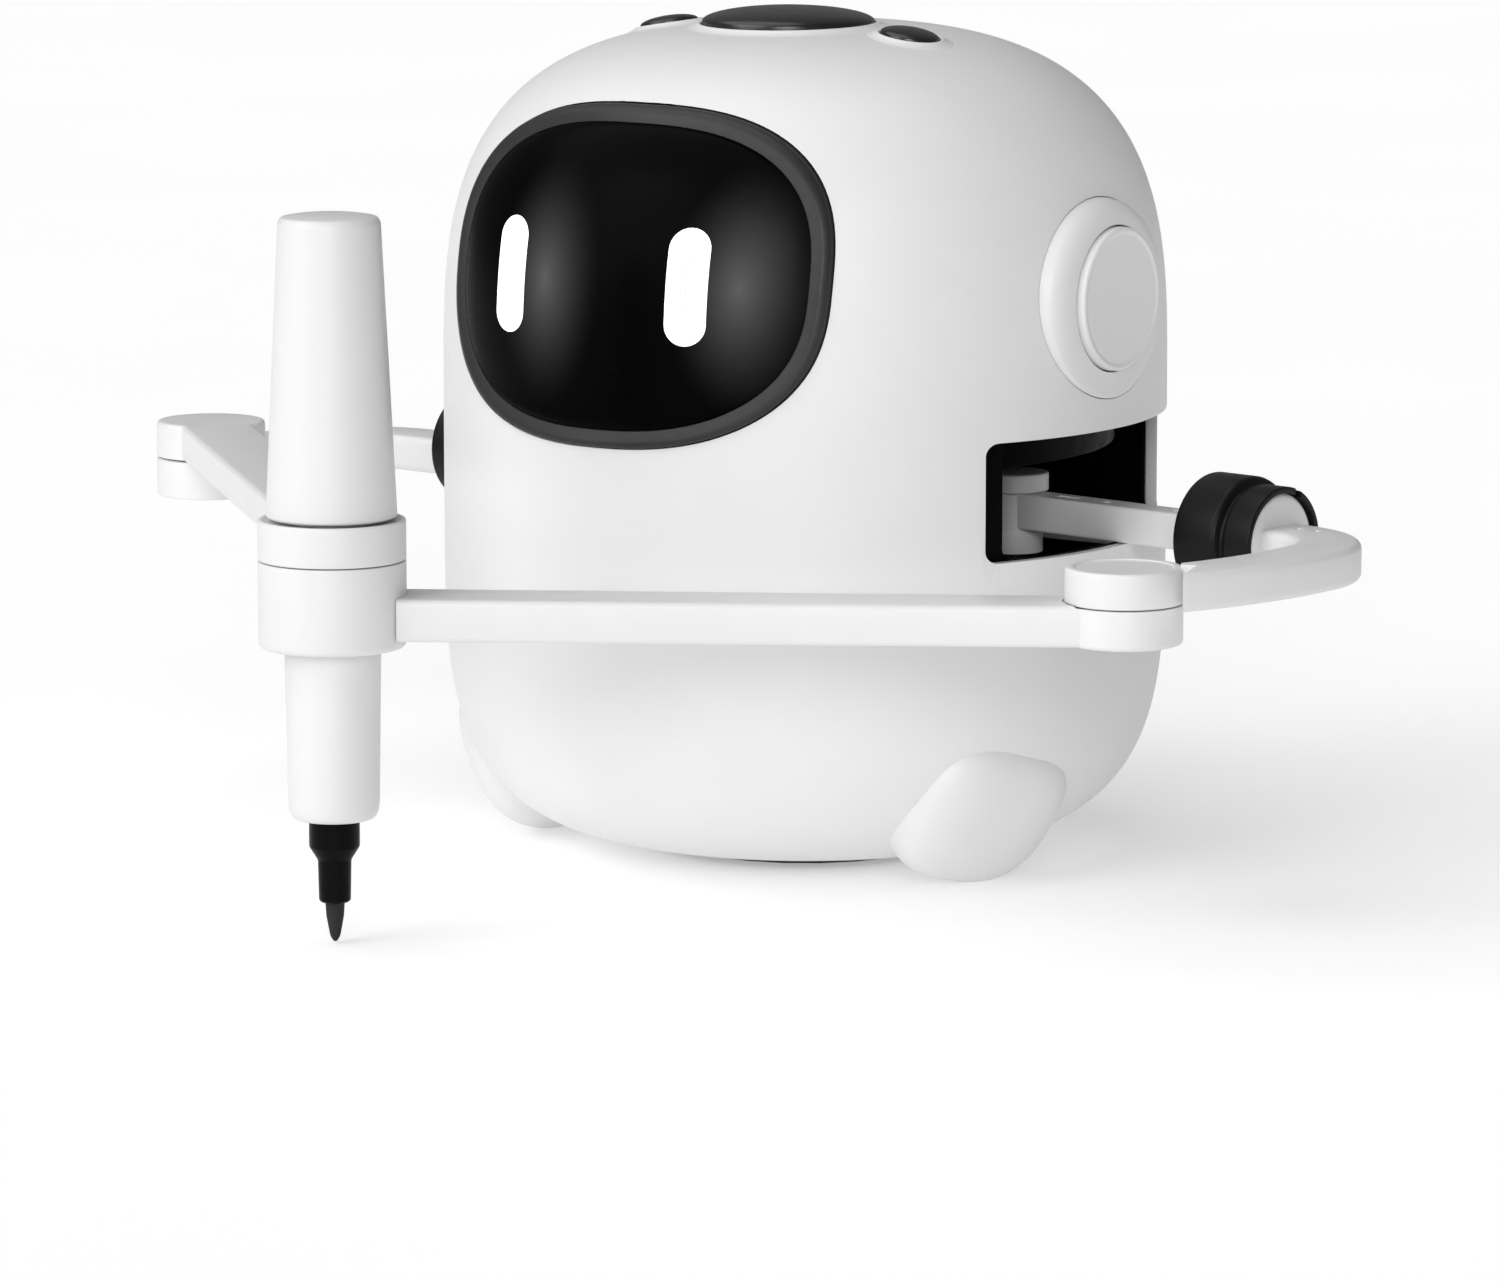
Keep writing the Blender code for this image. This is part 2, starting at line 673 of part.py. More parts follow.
def hook_outline(arm):
    """Both edges of the hook: a tight bend past the cuff, then a wide bend to the elbow."""
    track = [(CUFF_END + arm.cuff_shift - 2.7 * MM, 0.0, 0.0)]
    for i in range(9):
        turn = HOOK_TURN * i / 8
        track.append((HOOK_START + HOOK_RADIUS * math.sin(turn), HOOK_RADIUS * (1 - math.cos(turn)), turn))
    start_out, start_forward, _ = track[-1]
    centre_out = start_out - HOOK_END_RADIUS * math.sin(HOOK_TURN)
    centre_forward = start_forward + HOOK_END_RADIUS * math.cos(HOOK_TURN)
    for i in range(1, 5):
        turn = HOOK_TURN + HOOK_END_TURN * i / 4
        out = centre_out + HOOK_END_RADIUS * math.sin(turn)
        forward = centre_forward - HOOK_END_RADIUS * math.cos(turn)
        track.append((out, forward, turn))
    outside = []
    inside = []
    for out, forward, turn in track:
        across = (math.sin(turn) * HOOK_HALF_WIDTH, -math.cos(turn) * HOOK_HALF_WIDTH)
        outside.append(arm.point(out + across[0], forward + across[1]))
        inside.append(arm.point(out - across[0], forward - across[1]))
    return [tuple(p) for p in outside + inside[::-1]]


def hook_trim_outline(arm):
    """What is trimmed off the hook's end, in front of a slanted line that touches the elbow's ring."""
    elbow_out = UPPER_ARM_REACH * math.cos(ELBOW_TURN)
    elbow_forward = UPPER_ARM_REACH * math.sin(ELBOW_TURN)
    offsets = [(19.4, 3.7), (7.6, -6.1), (0.0, 0.0), (0.0, 14.0), (19.4, 14.0)]
    return [tuple(arm.point(elbow_out + out * MM, elbow_forward + forward * MM)) for out, forward in offsets]


def bar_outline(start, end, half_width):
    along = (end - start).normalized()
    across = Vector((-along.y, along.x)) * half_width
    return [tuple(start + across), tuple(start - across), tuple(end - across), tuple(end + across)]


def make_upper_arm(name, side):
    arm = ArmFrame(side)
    elbow = arm.elbow()
    made = plate(name, hook_outline(arm), *HOOK_LEVEL, WHITE)
    bevel(made, 1.1 * MM)
    cut(made, plate(name + "_trim", hook_trim_outline(arm), 50 * MM, 75 * MM))
    cuff_end = CUFF_END + arm.cuff_shift
    bar_end = arm.point(cuff_end + 1 * MM, 0)
    bar = plate(name + "_bar", bar_outline(arm.shoulder, bar_end, BAR_HALF_WIDTH), *BAR_LEVEL)
    join(made, bevel(bar, 0.5 * MM, segments=1))
    hub = cylinder(name + "_hub", arm.shoulder, 5.6 * MM, 54.9 * MM, 69.3 * MM)
    join(made, bevel(hub, 0.4 * MM, segments=1))
    disc_high = cuff_end - 1.6 * MM
    disc_low = cuff_end - 4 * MM
    disc_outline = [(0.0, disc_high), (DISC_RADIUS, disc_high), (DISC_RADIUS, disc_low), (0.0, disc_low)]
    centre = (*arm.shoulder, CUFF_Z)
    join(made, turned(name + "_disc", disc_outline, centre=centre, axis=(*arm.out, 0)))
    ring = cylinder(name + "_ring", elbow, ELBOW_RADIUS, *arm.elbow_level, sides=FINE_SIDES)
    join(made, bevel(ring, 0.8 * MM))
    if side > 0:
        cut(made, cylinder(name + "_socket", elbow, PIN_RADIUS + GAP, 50 * MM, 63 * MM))
    else:
        cut(made, cylinder(name + "_socket", elbow, OPEN_SOCKET_RADIUS, 60 * MM, 70 * MM))
    move_origin(made, (*arm.shoulder, 0))


def make_cuff(name, side):
    arm = ArmFrame(side)
    inner_bore = BAR_HALF_WIDTH + 1.6 * MM
    outline = [
        (CUFF_BORE, CUFF_END),
        (CUFF_END_RADIUS - 0.2 * MM, CUFF_END),
        (CUFF_END_RADIUS, CUFF_END - 0.3 * MM),
        (CUFF_END_RADIUS, CUFF_STEP + 0.4 * MM),
        (CUFF_RADIUS - 0.4 * MM, CUFF_STEP),
        (CUFF_RADIUS, CUFF_STEP - 0.6 * MM),
        (CUFF_RADIUS, CUFF_START + 0.5 * MM),
        (CUFF_RADIUS - 0.5 * MM, CUFF_START),
        (CUFF_BORE + 0.6 * MM, CUFF_START),
        (CUFF_BORE + 0.6 * MM, CUFF_START + 4 * MM),
        (inner_bore, CUFF_START + 4 * MM),
        (inner_bore, CUFF_START + 5.6 * MM),
        (CUFF_BORE, CUFF_START + 5.6 * MM),
    ]
    outline = [(radius, out + arm.cuff_shift) for radius, out in outline]
    centre = (*arm.shoulder, CUFF_Z)
    turned(name, outline, BLACK, centre, closed=True, axis=(*arm.out, 0))


def make_low_forearm(hub, elbow):
    outline = bar_outline(hub, elbow, FOREARM_HALF_WIDTH)
    made = plate("left_forearm", outline, LOW_ARM[0], LOW_BAR_TOP, WHITE)
    bevel(made, 0.9 * MM)
    step_radius = ELBOW_RADIUS + 2 * GAP
    cut(made, cylinder("lower_elbow_step", elbow, step_radius, LOW_ARM[1], 65 * MM, sides=FINE_SIDES))
    join(made, bevel(cylinder("lower_hub_ring", hub, HUB_RADIUS, *HUB_LOWER, sides=FINE_SIDES), 0.9 * MM))
    join(made, bevel(cylinder("lower_elbow_ring", elbow, ELBOW_RADIUS, *LOW_ARM, sides=FINE_SIDES), 0.8 * MM))
    cut(made, cylinder("lower_hub_bore", hub, HUB_BORE, 40 * MM, 80 * MM, sides=FINE_SIDES))
    cut(made, cylinder("lower_elbow_bore", elbow, PIN_RADIUS + GAP, 40 * MM, 70 * MM))
    cut(made, cylinder("pin_head_seat", elbow, 5.0 * MM, 40 * MM, LOW_ARM[0] + 1.7 * MM))
    move_origin(made, (*elbow, 0))


def make_high_forearm(hub, elbow):
    made = plate("right_forearm", bar_outline(hub, elbow, FOREARM_HALF_WIDTH), *HIGH_ARM, WHITE)
    bevel(made, 0.9 * MM)
    join(made, bevel(cylinder("upper_hub_ring", hub, HUB_RADIUS, *HUB_UPPER, sides=FINE_SIDES), 0.9 * MM))
    ring = cylinder("upper_elbow_ring", elbow, ELBOW_RADIUS, *HIGH_ARM, sides=FINE_SIDES)
    join(made, bevel(ring, 0.8 * MM))
    cut(made, cylinder("upper_hub_bore", hub, HUB_BORE, 60 * MM, 80 * MM, sides=FINE_SIDES))
    join(made, cylinder("open_pin", elbow, OPEN_PIN_RADIUS, 61 * MM, HIGH_ARM[0] + 1 * MM, sides=SMALL_SIDES))
    move_origin(made, (*hub, 0))


def make_elbow_pin(elbow):
    head_low = LOW_ARM[0] + 0.2 * MM
    head_high = LOW_ARM[0] + 1.4 * MM
    outline = [
        (0.0, 62.6 * MM),
        (PIN_RADIUS - 0.4 * MM, 62.6 * MM),
        (PIN_RADIUS, 62.2 * MM),
        (PIN_RADIUS, head_high),
        (4.7 * MM, head_high),
        (4.7 * MM, head_low),
        (0.0, head_low),
    ]
    turned("elbow_pin", outline, STEEL, (*elbow, 0))


def circle_crossing(first, second, radius):
    """The front crossing of two circles of one radius."""
    middle = (first + second) / 2
    apart = second - first
    height = math.sqrt(radius ** 2 - apart.length_squared / 4)
    across = Vector((apart.y, -apart.x)).normalized() * height
    return min(middle + across, middle - across, key=lambda p: p.y)


# Pen

def make_pen(hub):
    place = (*hub, 0)
    sleeve = [
        (6.3 * MM, 72.2 * MM),
        (SLEEVE_TOP_RADIUS, 72.2 * MM),
        (SLEEVE_TOP_RADIUS, 50.3 * MM),
        (8.15 * MM, 50.3 * MM),
        (7.7 * MM, 25 * MM),
        (7.2 * MM, 22.8 * MM),
        (6.0 * MM, 21.6 * MM),
        (4.7 * MM, 21.4 * MM),
        (4.7 * MM, 24 * MM),
        (6.3 * MM, 26.5 * MM),
    ]
    turned("pen_sleeve", sleeve, WHITE, place, FINE_SIDES, closed=True)
    barrel = [
        (0.0, 124 * MM),
        (5 * MM, 123.8 * MM),
        (8.1 * MM, 123.1 * MM),
        (8.65 * MM, 122.3 * MM),
        (11.05 * MM, 73.2 * MM),
        (10.6 * MM, 72.7 * MM),
        (5.9 * MM, 72.7 * MM),
        (5.9 * MM, 28 * MM),
        (0.0, 28 * MM),
    ]
    turned("marker_barrel", barrel, WHITE, place, FINE_SIDES)
    collar = [
        (0.0, 27.7 * MM),
        (4.3 * MM, 27.7 * MM),
        (4.3 * MM, 16.5 * MM),
        (2.8 * MM, 14.2 * MM),
        (2.7 * MM, 7.6 * MM),
        (2.3 * MM, 7.0 * MM),
        (0.0, 7.0 * MM),
    ]
    turned("marker_collar", collar, BLACK, place)
    tip = [
        (0.0, 6.7 * MM),
        (1.65 * MM, 6.7 * MM),
        (1.0 * MM, 1.2 * MM),
        (0.5 * MM, 0.3 * MM),
        (0.0, 0.2 * MM),
    ]
    turned("marker_tip", tip, FELT, place, SMALL_SIDES)


def make_arms():
    left_elbow = ArmFrame(1).elbow()
    right_elbow = ArmFrame(-1).elbow()
    hub = circle_crossing(left_elbow, right_elbow, FOREARM_LENGTH)
    make_upper_arm("left_upper_arm", 1)
    make_upper_arm("right_upper_arm", -1)
    make_cuff("left_cuff", 1)
    make_cuff("right_cuff", -1)
    make_low_forearm(hub, left_elbow)
    make_high_forearm(hub, right_elbow)
    make_elbow_pin(left_elbow)
    make_pen(hub)


clear_scene()
PARTS = new_collection("drawing_robot")
CUTTERS = new_collection("cutters")
make_shells()
make_face()
make_ears()
make_buttons()
make_base()
make_shell_screws()
make_inside()
make_carriage()
make_arms()
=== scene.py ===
"""Looks of the desktop drawing robot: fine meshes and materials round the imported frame.

Units are metres, +Z is up, the robot faces -Y and its own left is +X.
"""

import json
import math

import bmesh
import bpy
from mathutils import Matrix, Vector


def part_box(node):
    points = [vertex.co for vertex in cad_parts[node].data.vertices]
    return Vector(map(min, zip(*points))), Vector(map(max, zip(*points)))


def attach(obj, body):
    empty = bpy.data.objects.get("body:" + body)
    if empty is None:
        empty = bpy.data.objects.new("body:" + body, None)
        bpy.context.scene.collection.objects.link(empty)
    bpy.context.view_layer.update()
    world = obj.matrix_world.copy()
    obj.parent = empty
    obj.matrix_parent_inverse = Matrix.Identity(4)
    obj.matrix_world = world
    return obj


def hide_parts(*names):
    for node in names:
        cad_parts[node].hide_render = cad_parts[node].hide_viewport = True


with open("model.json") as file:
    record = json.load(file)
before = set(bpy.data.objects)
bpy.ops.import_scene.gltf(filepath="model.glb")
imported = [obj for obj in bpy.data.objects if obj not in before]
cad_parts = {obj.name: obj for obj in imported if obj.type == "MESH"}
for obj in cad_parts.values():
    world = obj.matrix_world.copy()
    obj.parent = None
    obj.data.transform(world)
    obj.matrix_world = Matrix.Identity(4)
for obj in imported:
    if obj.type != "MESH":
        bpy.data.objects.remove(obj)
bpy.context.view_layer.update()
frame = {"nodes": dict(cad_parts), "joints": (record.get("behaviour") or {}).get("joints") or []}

MM = 0.001
FULL_TURN = 2 * math.pi
ROOT = "body"

# Body profile: a dome on a bowl, both superellipses turned about Z.
BODY_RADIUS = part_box("front_shell")[1].x
BODY_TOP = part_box("front_shell")[1].z
BODY_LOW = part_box("front_shell")[0].z
DOME_START = 84.3 * MM
DOME_HEIGHT_POWER = 3.16
DOME_RADIUS_POWER = 3.015
BOWL_START = 66.1 * MM
BOWL_HEIGHT_POWER = 4.32
BOWL_RADIUS_POWER = 2.35
BASE_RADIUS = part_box("base_plate")[1].x + 0.3 * MM
WALL = 1.8 * MM
SPLIT_Y = 40.0 * MM
SEAM = 0.16 * MM
FITTING_GAP = 0.25 * MM
SCREW_BORE = 2.7 * MM
BODY_SIDES = 200

# Openings in the body.
WINDOW_ANGLE = math.radians(98.5)
WINDOW_HALF_ANGLE = math.radians(35.8)
WINDOW_LOW = 59.0 * MM
WINDOW_HIGH = 80.0 * MM
WINDOW_CORNER = 2.2 * MM
LINER_LIP = 5.0 * MM
LINER_REACH = 2.5 * MM
LINER_THICKNESS = 1.2 * MM

# Face.
FACE_POWER = 2.6
FACE_CENTRE_Z = 108.3 * MM
BEZEL_HALF = (39.4 * MM, 29.1 * MM)
SCREEN_HALF = (36.2 * MM, 26.0 * MM)
EYE_X = 18.7 * MM
EYE_Z = 107.8 * MM
EYE_SIZE = (7.3 * MM, 20.2 * MM)
EYE_SHIFT = -0.7 * MM
# Millimetres in from an eye's outline and up from the screen.
EYE_DOME = ((0.0, 0.0), (0.12, 0.05), (0.4, 0.07), (1.4, 0.08), (2.6, 0.085), (3.6, 0.085))

# Sections are corners of (distance in from the outline, height off the dome, rounding).
BEZEL_SECTION = [
    (0.0, -2.6 * MM),
    (0.0, 0.75 * MM, 0.35 * MM),
    (0.9 * MM, 1.0 * MM, 0.5 * MM),
    (3.05 * MM, 0.1 * MM, 0.2 * MM),
    (3.05 * MM, -2.6 * MM),
]
SCREEN_EDGE = 0.2 * MM
SCREEN_CROWN = 1.55 * MM

# Painted reflection on the screen: a soft emitting patch beside each eye, towards the robot's left, in
# place of a reflected light.
PAINTED_REFLECTION_SHIFT = 8.0 * MM
PAINTED_REFLECTION_WIDTH = 13.0 * MM
PAINTED_REFLECTION_HEIGHT = 23.0 * MM

# Ears and buttons.
EAR_Z = 103.0 * MM
EAR_RING_HALF = (19.0 * MM, 17.5 * MM)
EAR_RIM_RADIUS = 12.9 * MM
EAR_CAP_RADIUS = 12.6 * MM
EAR_RIM_HEIGHT = 65.4 * MM
BUTTON_Y = -5.5 * MM
BIG_BUTTON_RADIUS = 15.4 * MM
SMALL_BUTTON_X = 25.9 * MM
SMALL_BUTTON_RADIUS = 5.2 * MM
BUTTON_RISE = 0.5 * MM
BIG_BUTTON_CROWN = 2.7 * MM
SMALL_BUTTON_CROWN = 1.3 * MM
# Corners of (distance out from a button, height off the dome, rounding).
RIM_SECTION = [
    (0.25 * MM, -1.2 * MM),
    (0.25 * MM, 0.6 * MM, 0.2 * MM),
    (0.7 * MM, 0.72 * MM, 0.3 * MM),
    (1.5 * MM, 0.25 * MM, 0.8 * MM),
    (3.0 * MM, -0.12 * MM),
    (1.5 * MM, -1.2 * MM),
]

# Feet: a squared ball, turned about Z, Y and X.
FOOT_CENTRE = (48.5 * MM, -18.3 * MM, 14.6 * MM)
FOOT_HALF = (8.4 * MM, 17.2 * MM, 14.9 * MM)
FOOT_TURN = (math.radians(-17.4), math.radians(26.5), math.radians(-14.0))
FOOT_POWER = 2.65

# Arms.
ELBOW_RADIUS = 10.0 * MM
HUB_RADIUS = 12.5 * MM
HUB_BORE = 8.1 * MM
HOOK_HALF_WIDTH = 5.8 * MM
FOREARM_HALF_WIDTH = 6.6 * MM
BAR_HALF_WIDTH = 3.3 * MM
CUFF_Z = 62.3 * MM
RIGHT_CUFF_LIFT = 1.6 * MM
CUFF_END = 62.0 * MM
RIGHT_CUFF_SHIFT = -11.6 * MM
HOOK_LEVEL = (58.5 * MM, 65.2 * MM)
HOOK_DISH_LEVEL = 64.1 * MM
BAR_LEVEL = (59.3 * MM, 65.7 * MM)
HOOK_START = 62.8 * MM
HOOK_RADIUS = 18.5 * MM
HOOK_TURN = math.radians(81.5)
HOOK_END_RADIUS = 80.0 * MM
HOOK_END_TURN = math.radians(27.0)
LEFT_ELBOW_LEVEL = (58.5 * MM, 64.6 * MM)
RIGHT_ELBOW_LEVEL = (58.5 * MM, 65.4 * MM)
LOW_ARM_LEVEL = (51.5 * MM, 58.3 * MM)
HIGH_ARM_LEVEL = (65.7 * MM, 72.2 * MM)
LOW_HUB_LEVEL = (50.7 * MM, 65.5 * MM)
PIN_BORE = 3.3 * MM
PIN_SEAT_RADIUS = 5.0 * MM
PIN_SEAT_LEVEL = 53.2 * MM
STUB_RADIUS = 2.2 * MM
STUB_LOW = 61.0 * MM
STUB_SOCKET_RADIUS = 4.0 * MM

# What is trimmed off each hook's end: millimetres out and forward from the elbow.
LEFT_TRIM = ((16.2, 4.7), (10.8, -6.1), (0.0, 0.0), (0.0, 14.0), (16.2, 14.0))
RIGHT_TRIM = (
    (13.4, -1.2),
    (25.8, -16.0),
    (34.0, -16.0),
    (34.0, 14.0),
    (0.0, 14.0),
    (0.0, 0.0),
    (7.6, -6.1),
)

# Turned outlines: corners of (radius, height, rounding).
SHOULDER_BOSS = [
    (0.0, 69.2 * MM),
    (6.3 * MM, 69.2 * MM, 0.5 * MM),
    (6.3 * MM, 65.9 * MM, 0.3 * MM),
    (5.0 * MM, 65.7 * MM, 0.4 * MM),
    (5.0 * MM, 58.8 * MM, 0.5 * MM),
    (5.3 * MM, 58.4 * MM, 0.3 * MM),
    (5.3 * MM, 54.9 * MM),
    (0.0, 54.9 * MM),
]
UPPER_HUB = [
    (HUB_BORE, 65.9 * MM),
    (HUB_BORE + 0.2 * MM, 65.7 * MM),
    (HUB_RADIUS, 65.7 * MM, 0.25 * MM),
    (HUB_RADIUS, 72.5 * MM, 0.5 * MM),
    (11.7 * MM, 72.5 * MM, 0.3 * MM),
    (11.3 * MM, 72.1 * MM, 0.2 * MM),
    (HUB_BORE, 72.1 * MM),
]

# Where the cuff's notch sits, from straight up towards the back.
NOTCH_TURN = math.radians(25.0)


# Materials

def shader_material(name, colour, roughness, metallic=0.0, **sockets):
    """A Principled material whose constant values sit on the shader's own sockets."""
    made = bpy.data.materials.new(name)
    made.use_nodes = True
    shader = made.node_tree.nodes["Principled BSDF"]
    shader.inputs["Base Color"].default_value = (*colour, 1.0)
    shader.inputs["Roughness"].default_value = roughness
    shader.inputs["Metallic"].default_value = metallic
    for socket, value in sockets.items():
        shader.inputs[socket.replace("_", " ")].default_value = value
    return made, made.node_tree, shader


def noise(tree, scale, detail=3.0, stretch=None):
    """Noise in the object's own coordinates, in metres."""
    where = tree.nodes.new("ShaderNodeTexCoord")
    made = tree.nodes.new("ShaderNodeTexNoise")
    made.inputs["Scale"].default_value = scale
    made.inputs["Detail"].default_value = detail
    source = where.outputs["Object"]
    if stretch:
        mapping = tree.nodes.new("ShaderNodeMapping")
        mapping.inputs["Scale"].default_value = stretch
        tree.links.new(source, mapping.inputs["Vector"])
        source = mapping.outputs["Vector"]
    tree.links.new(source, made.inputs["Vector"])
    return made


def vary(tree, source, socket, low, high):
    """Drive a socket from low to high by a texture's factor."""
    ramp = tree.nodes.new("ShaderNodeMapRange")
    ramp.inputs["From Min"].default_value = 0.3
    ramp.inputs["From Max"].default_value = 0.7
    ramp.inputs["To Min"].default_value = low
    ramp.inputs["To Max"].default_value = high
    tree.links.new(source.outputs["Fac"], ramp.inputs["Value"])
    tree.links.new(ramp.outputs["Result"], socket)


def tint(tree, source, socket, dark, light):
    """Drive a colour socket between two colours by a texture's factor."""
    ramp = tree.nodes.new("ShaderNodeValToRGB")
    ramp.color_ramp.elements[0].position = 0.3
    ramp.color_ramp.elements[0].color = (*dark, 1.0)
    ramp.color_ramp.elements[1].position = 0.7
    ramp.color_ramp.elements[1].color = (*light, 1.0)
    tree.links.new(source.outputs["Fac"], ramp.inputs["Fac"])
    tree.links.new(ramp.outputs["Color"], socket)


def grain(tree, shader, scale, distance, strength=0.6, stretch=None):
    """Fine surface relief."""
    texture = noise(tree, scale, 4.0, stretch)
    bump = tree.nodes.new("ShaderNodeBump")
    bump.inputs["Strength"].default_value = strength
    bump.inputs["Distance"].default_value = distance
    tree.links.new(texture.outputs["Fac"], bump.inputs["Height"])
    tree.links.new(bump.outputs["Normal"], shader.inputs["Normal"])


def moulded(name, dark, light, rough_low, rough_high, relief=0.000012, scale=2600, **sockets):
    """Moulded plastic: slight mottling, uneven gloss and a spark-eroded grain."""
    made, tree, shader = shader_material(name, light, rough_high, **sockets)
    broad = noise(tree, 45.0)
    tint(tree, broad, shader.inputs["Base Color"], dark, light)
    fine = noise(tree, 420.0)
    vary(tree, fine, shader.inputs["Roughness"], rough_low, rough_high)
    grain(tree, shader, scale, relief)
    return made


def grey(value):
    return (value, value, value)


def screen_material():
    """Black lens with a painted reflection: a soft emitting patch towards the robot's left of each eye, in
    place of a reflected light.
    """
    made, tree, shader = shader_material("screen_lens", grey(0.001), 0.3, Specular_IOR_Level=0.02)
    # Centres of the painted reflections, one beside each eye.
    painted_reflection_centres = ((EYE_X + PAINTED_REFLECTION_SHIFT, EYE_Z), (-EYE_X + PAINTED_REFLECTION_SHIFT, EYE_Z))
    where = tree.nodes.new("ShaderNodeTexCoord")
    total = None
    for x, z in painted_reflection_centres:
        mapping = tree.nodes.new("ShaderNodeMapping")
        mapping.inputs["Location"].default_value = (-x / PAINTED_REFLECTION_WIDTH, 0.0, -z / PAINTED_REFLECTION_HEIGHT)
        mapping.inputs["Scale"].default_value = (1 / PAINTED_REFLECTION_WIDTH, 0.0, 1 / PAINTED_REFLECTION_HEIGHT)
        tree.links.new(where.outputs["Object"], mapping.inputs["Vector"])
        ball = tree.nodes.new("ShaderNodeTexGradient")
        ball.gradient_type = "QUADRATIC_SPHERE"
        tree.links.new(mapping.outputs["Vector"], ball.inputs["Vector"])
        if total is None:
            total = ball.outputs["Fac"]
            continue
        adding = tree.nodes.new("ShaderNodeMath")
        adding.operation = "ADD"
        tree.links.new(total, adding.inputs[0])
        tree.links.new(ball.outputs["Fac"], adding.inputs[1])
        total = adding.outputs["Value"]
    # The painted reflection is emission, from black up to grey 0.11.
    ramp = tree.nodes.new("ShaderNodeValToRGB")
    ramp.color_ramp.elements[0].color = (*grey(0.0), 1.0)
    ramp.color_ramp.elements[1].color = (*grey(0.11), 1.0)
    tree.links.new(total, ramp.inputs["Fac"])
    tree.links.new(ramp.outputs["Color"], shader.inputs["Emission Color"])
    shader.inputs["Emission Strength"].default_value = 1.0
    fine = noise(tree, 700.0)
    vary(tree, fine, shader.inputs["Roughness"], 0.26, 0.32)
    grain(tree, shader, 1800, 0.000003, 0.3)
    return made


def eye_material():
    made, tree, shader = shader_material("eye_diffuser", grey(0.95), 0.35)
    spots = noise(tree, 900.0)
    tint(tree, spots, shader.inputs["Emission Color"], grey(0.94), grey(1.0))
    shader.inputs["Emission Strength"].default_value = 0.75
    grain(tree, shader, 3000, 0.000005, 0.3)
    return made


def metal(name, colour, low, high, stretch=(1.0, 1.0, 40.0)):
    made, tree, shader = shader_material(name, colour, high, metallic=1.0)
    lines = noise(tree, 260.0, 2.0, stretch)
    vary(tree, lines, shader.inputs["Roughness"], low, high)
    dim = tuple(0.88 * c for c in colour)
    tint(tree, noise(tree, 90.0), shader.inputs["Base Color"], dim, colour)
    grain(tree, shader, 900, 0.000008, 0.4, stretch)
    return made


def board_material():
    """Solder mask with faint tracks."""
    made, tree, shader = shader_material("solder_mask", (0.02, 0.13, 0.06), 0.35)
    where = tree.nodes.new("ShaderNodeTexCoord")
    tracks = tree.nodes.new("ShaderNodeTexBrick")
    tracks.inputs["Scale"].default_value = 180.0
    tracks.inputs["Mortar Size"].default_value = 0.05
    tracks.inputs["Color1"].default_value = (0.018, 0.12, 0.055, 1.0)
    tracks.inputs["Color2"].default_value = (0.024, 0.15, 0.065, 1.0)
    tracks.inputs["Mortar"].default_value = (0.06, 0.24, 0.1, 1.0)
    tree.links.new(where.outputs["Object"], tracks.inputs["Vector"])
    tree.links.new(tracks.outputs["Color"], shader.inputs["Base Color"])
    vary(tree, noise(tree, 300.0), shader.inputs["Roughness"], 0.3, 0.45)
    return made


SHELL = moulded("shell_white", grey(0.70), grey(0.72), 0.40, 0.48)
ARM = moulded("arm_white", grey(0.67), grey(0.69), 0.36, 0.44)
CUFF = moulded("cuff_black", grey(0.003), grey(0.005), 0.30, 0.40, 0.00002, 2200, Specular_IOR_Level=0.16)
BEZEL = moulded("bezel_grey", grey(0.016), grey(0.020), 0.38, 0.46, 0.000015, 2400, Specular_IOR_Level=0.35)
BUTTON = moulded("button_black", grey(0.004), grey(0.006), 0.24, 0.32, 0.000004, Specular_IOR_Level=0.6)
INNER = moulded("inner_black", grey(0.001), grey(0.002), 0.42, 0.52, 0.00002, 1800, Specular_IOR_Level=0.03)
RUBBER = moulded("pad_rubber", grey(0.02), grey(0.035), 0.75, 0.9, 0.00004, 1500)
PEN_BLACK = moulded("pen_black", grey(0.001), grey(0.002), 0.30, 0.38, 0.000006, Specular_IOR_Level=0.07)
FELT = moulded("felt", grey(0.006), grey(0.012), 0.8, 0.95, 0.00006, 6000)
MOTOR = moulded("motor_black", grey(0.004), grey(0.007), 0.3, 0.4, Specular_IOR_Level=0.3)
WRAP = moulded("battery_wrap", (0.03, 0.09, 0.26), (0.04, 0.11, 0.3), 0.2, 0.32)
SCREEN = screen_material()
EYE = eye_material()
STEEL = metal("ground_steel", (0.56, 0.56, 0.58), 0.2, 0.34)
COIL = metal("coil_steel", (0.45, 0.46, 0.48), 0.3, 0.45, (1.0, 1.0, 12.0))
BOARD = board_material()


# Meshes

def mesh_from_rings(name, rings, ends=False):
    """Join rings of equal point counts by quads; a ring shrunk to a point becomes a pole."""
    shape = bmesh.new()
    rows = [[shape.verts.new(point) for point in ring] for ring in rings]
    count = len(rows[0])
    for row, following in zip(rows, rows[1:]):
        for i in range(count):
            j = (i + 1) % count
            shape.faces.new((row[i], row[j], following[j], following[i]))
    if ends:
        shape.faces.new(rows[0][::-1])
        shape.faces.new(rows[-1])
    return finish_mesh(name, shape)


def finish_mesh(name, shape, merge=0.0000005):
    bmesh.ops.remove_doubles(shape, verts=shape.verts, dist=merge)
    bmesh.ops.dissolve_degenerate(shape, edges=shape.edges, dist=merge)
    bmesh.ops.recalc_face_normals(shape, faces=shape.faces)
    mesh = bpy.data.meshes.new(name)
    shape.to_mesh(mesh)
    shape.free()
    return mesh


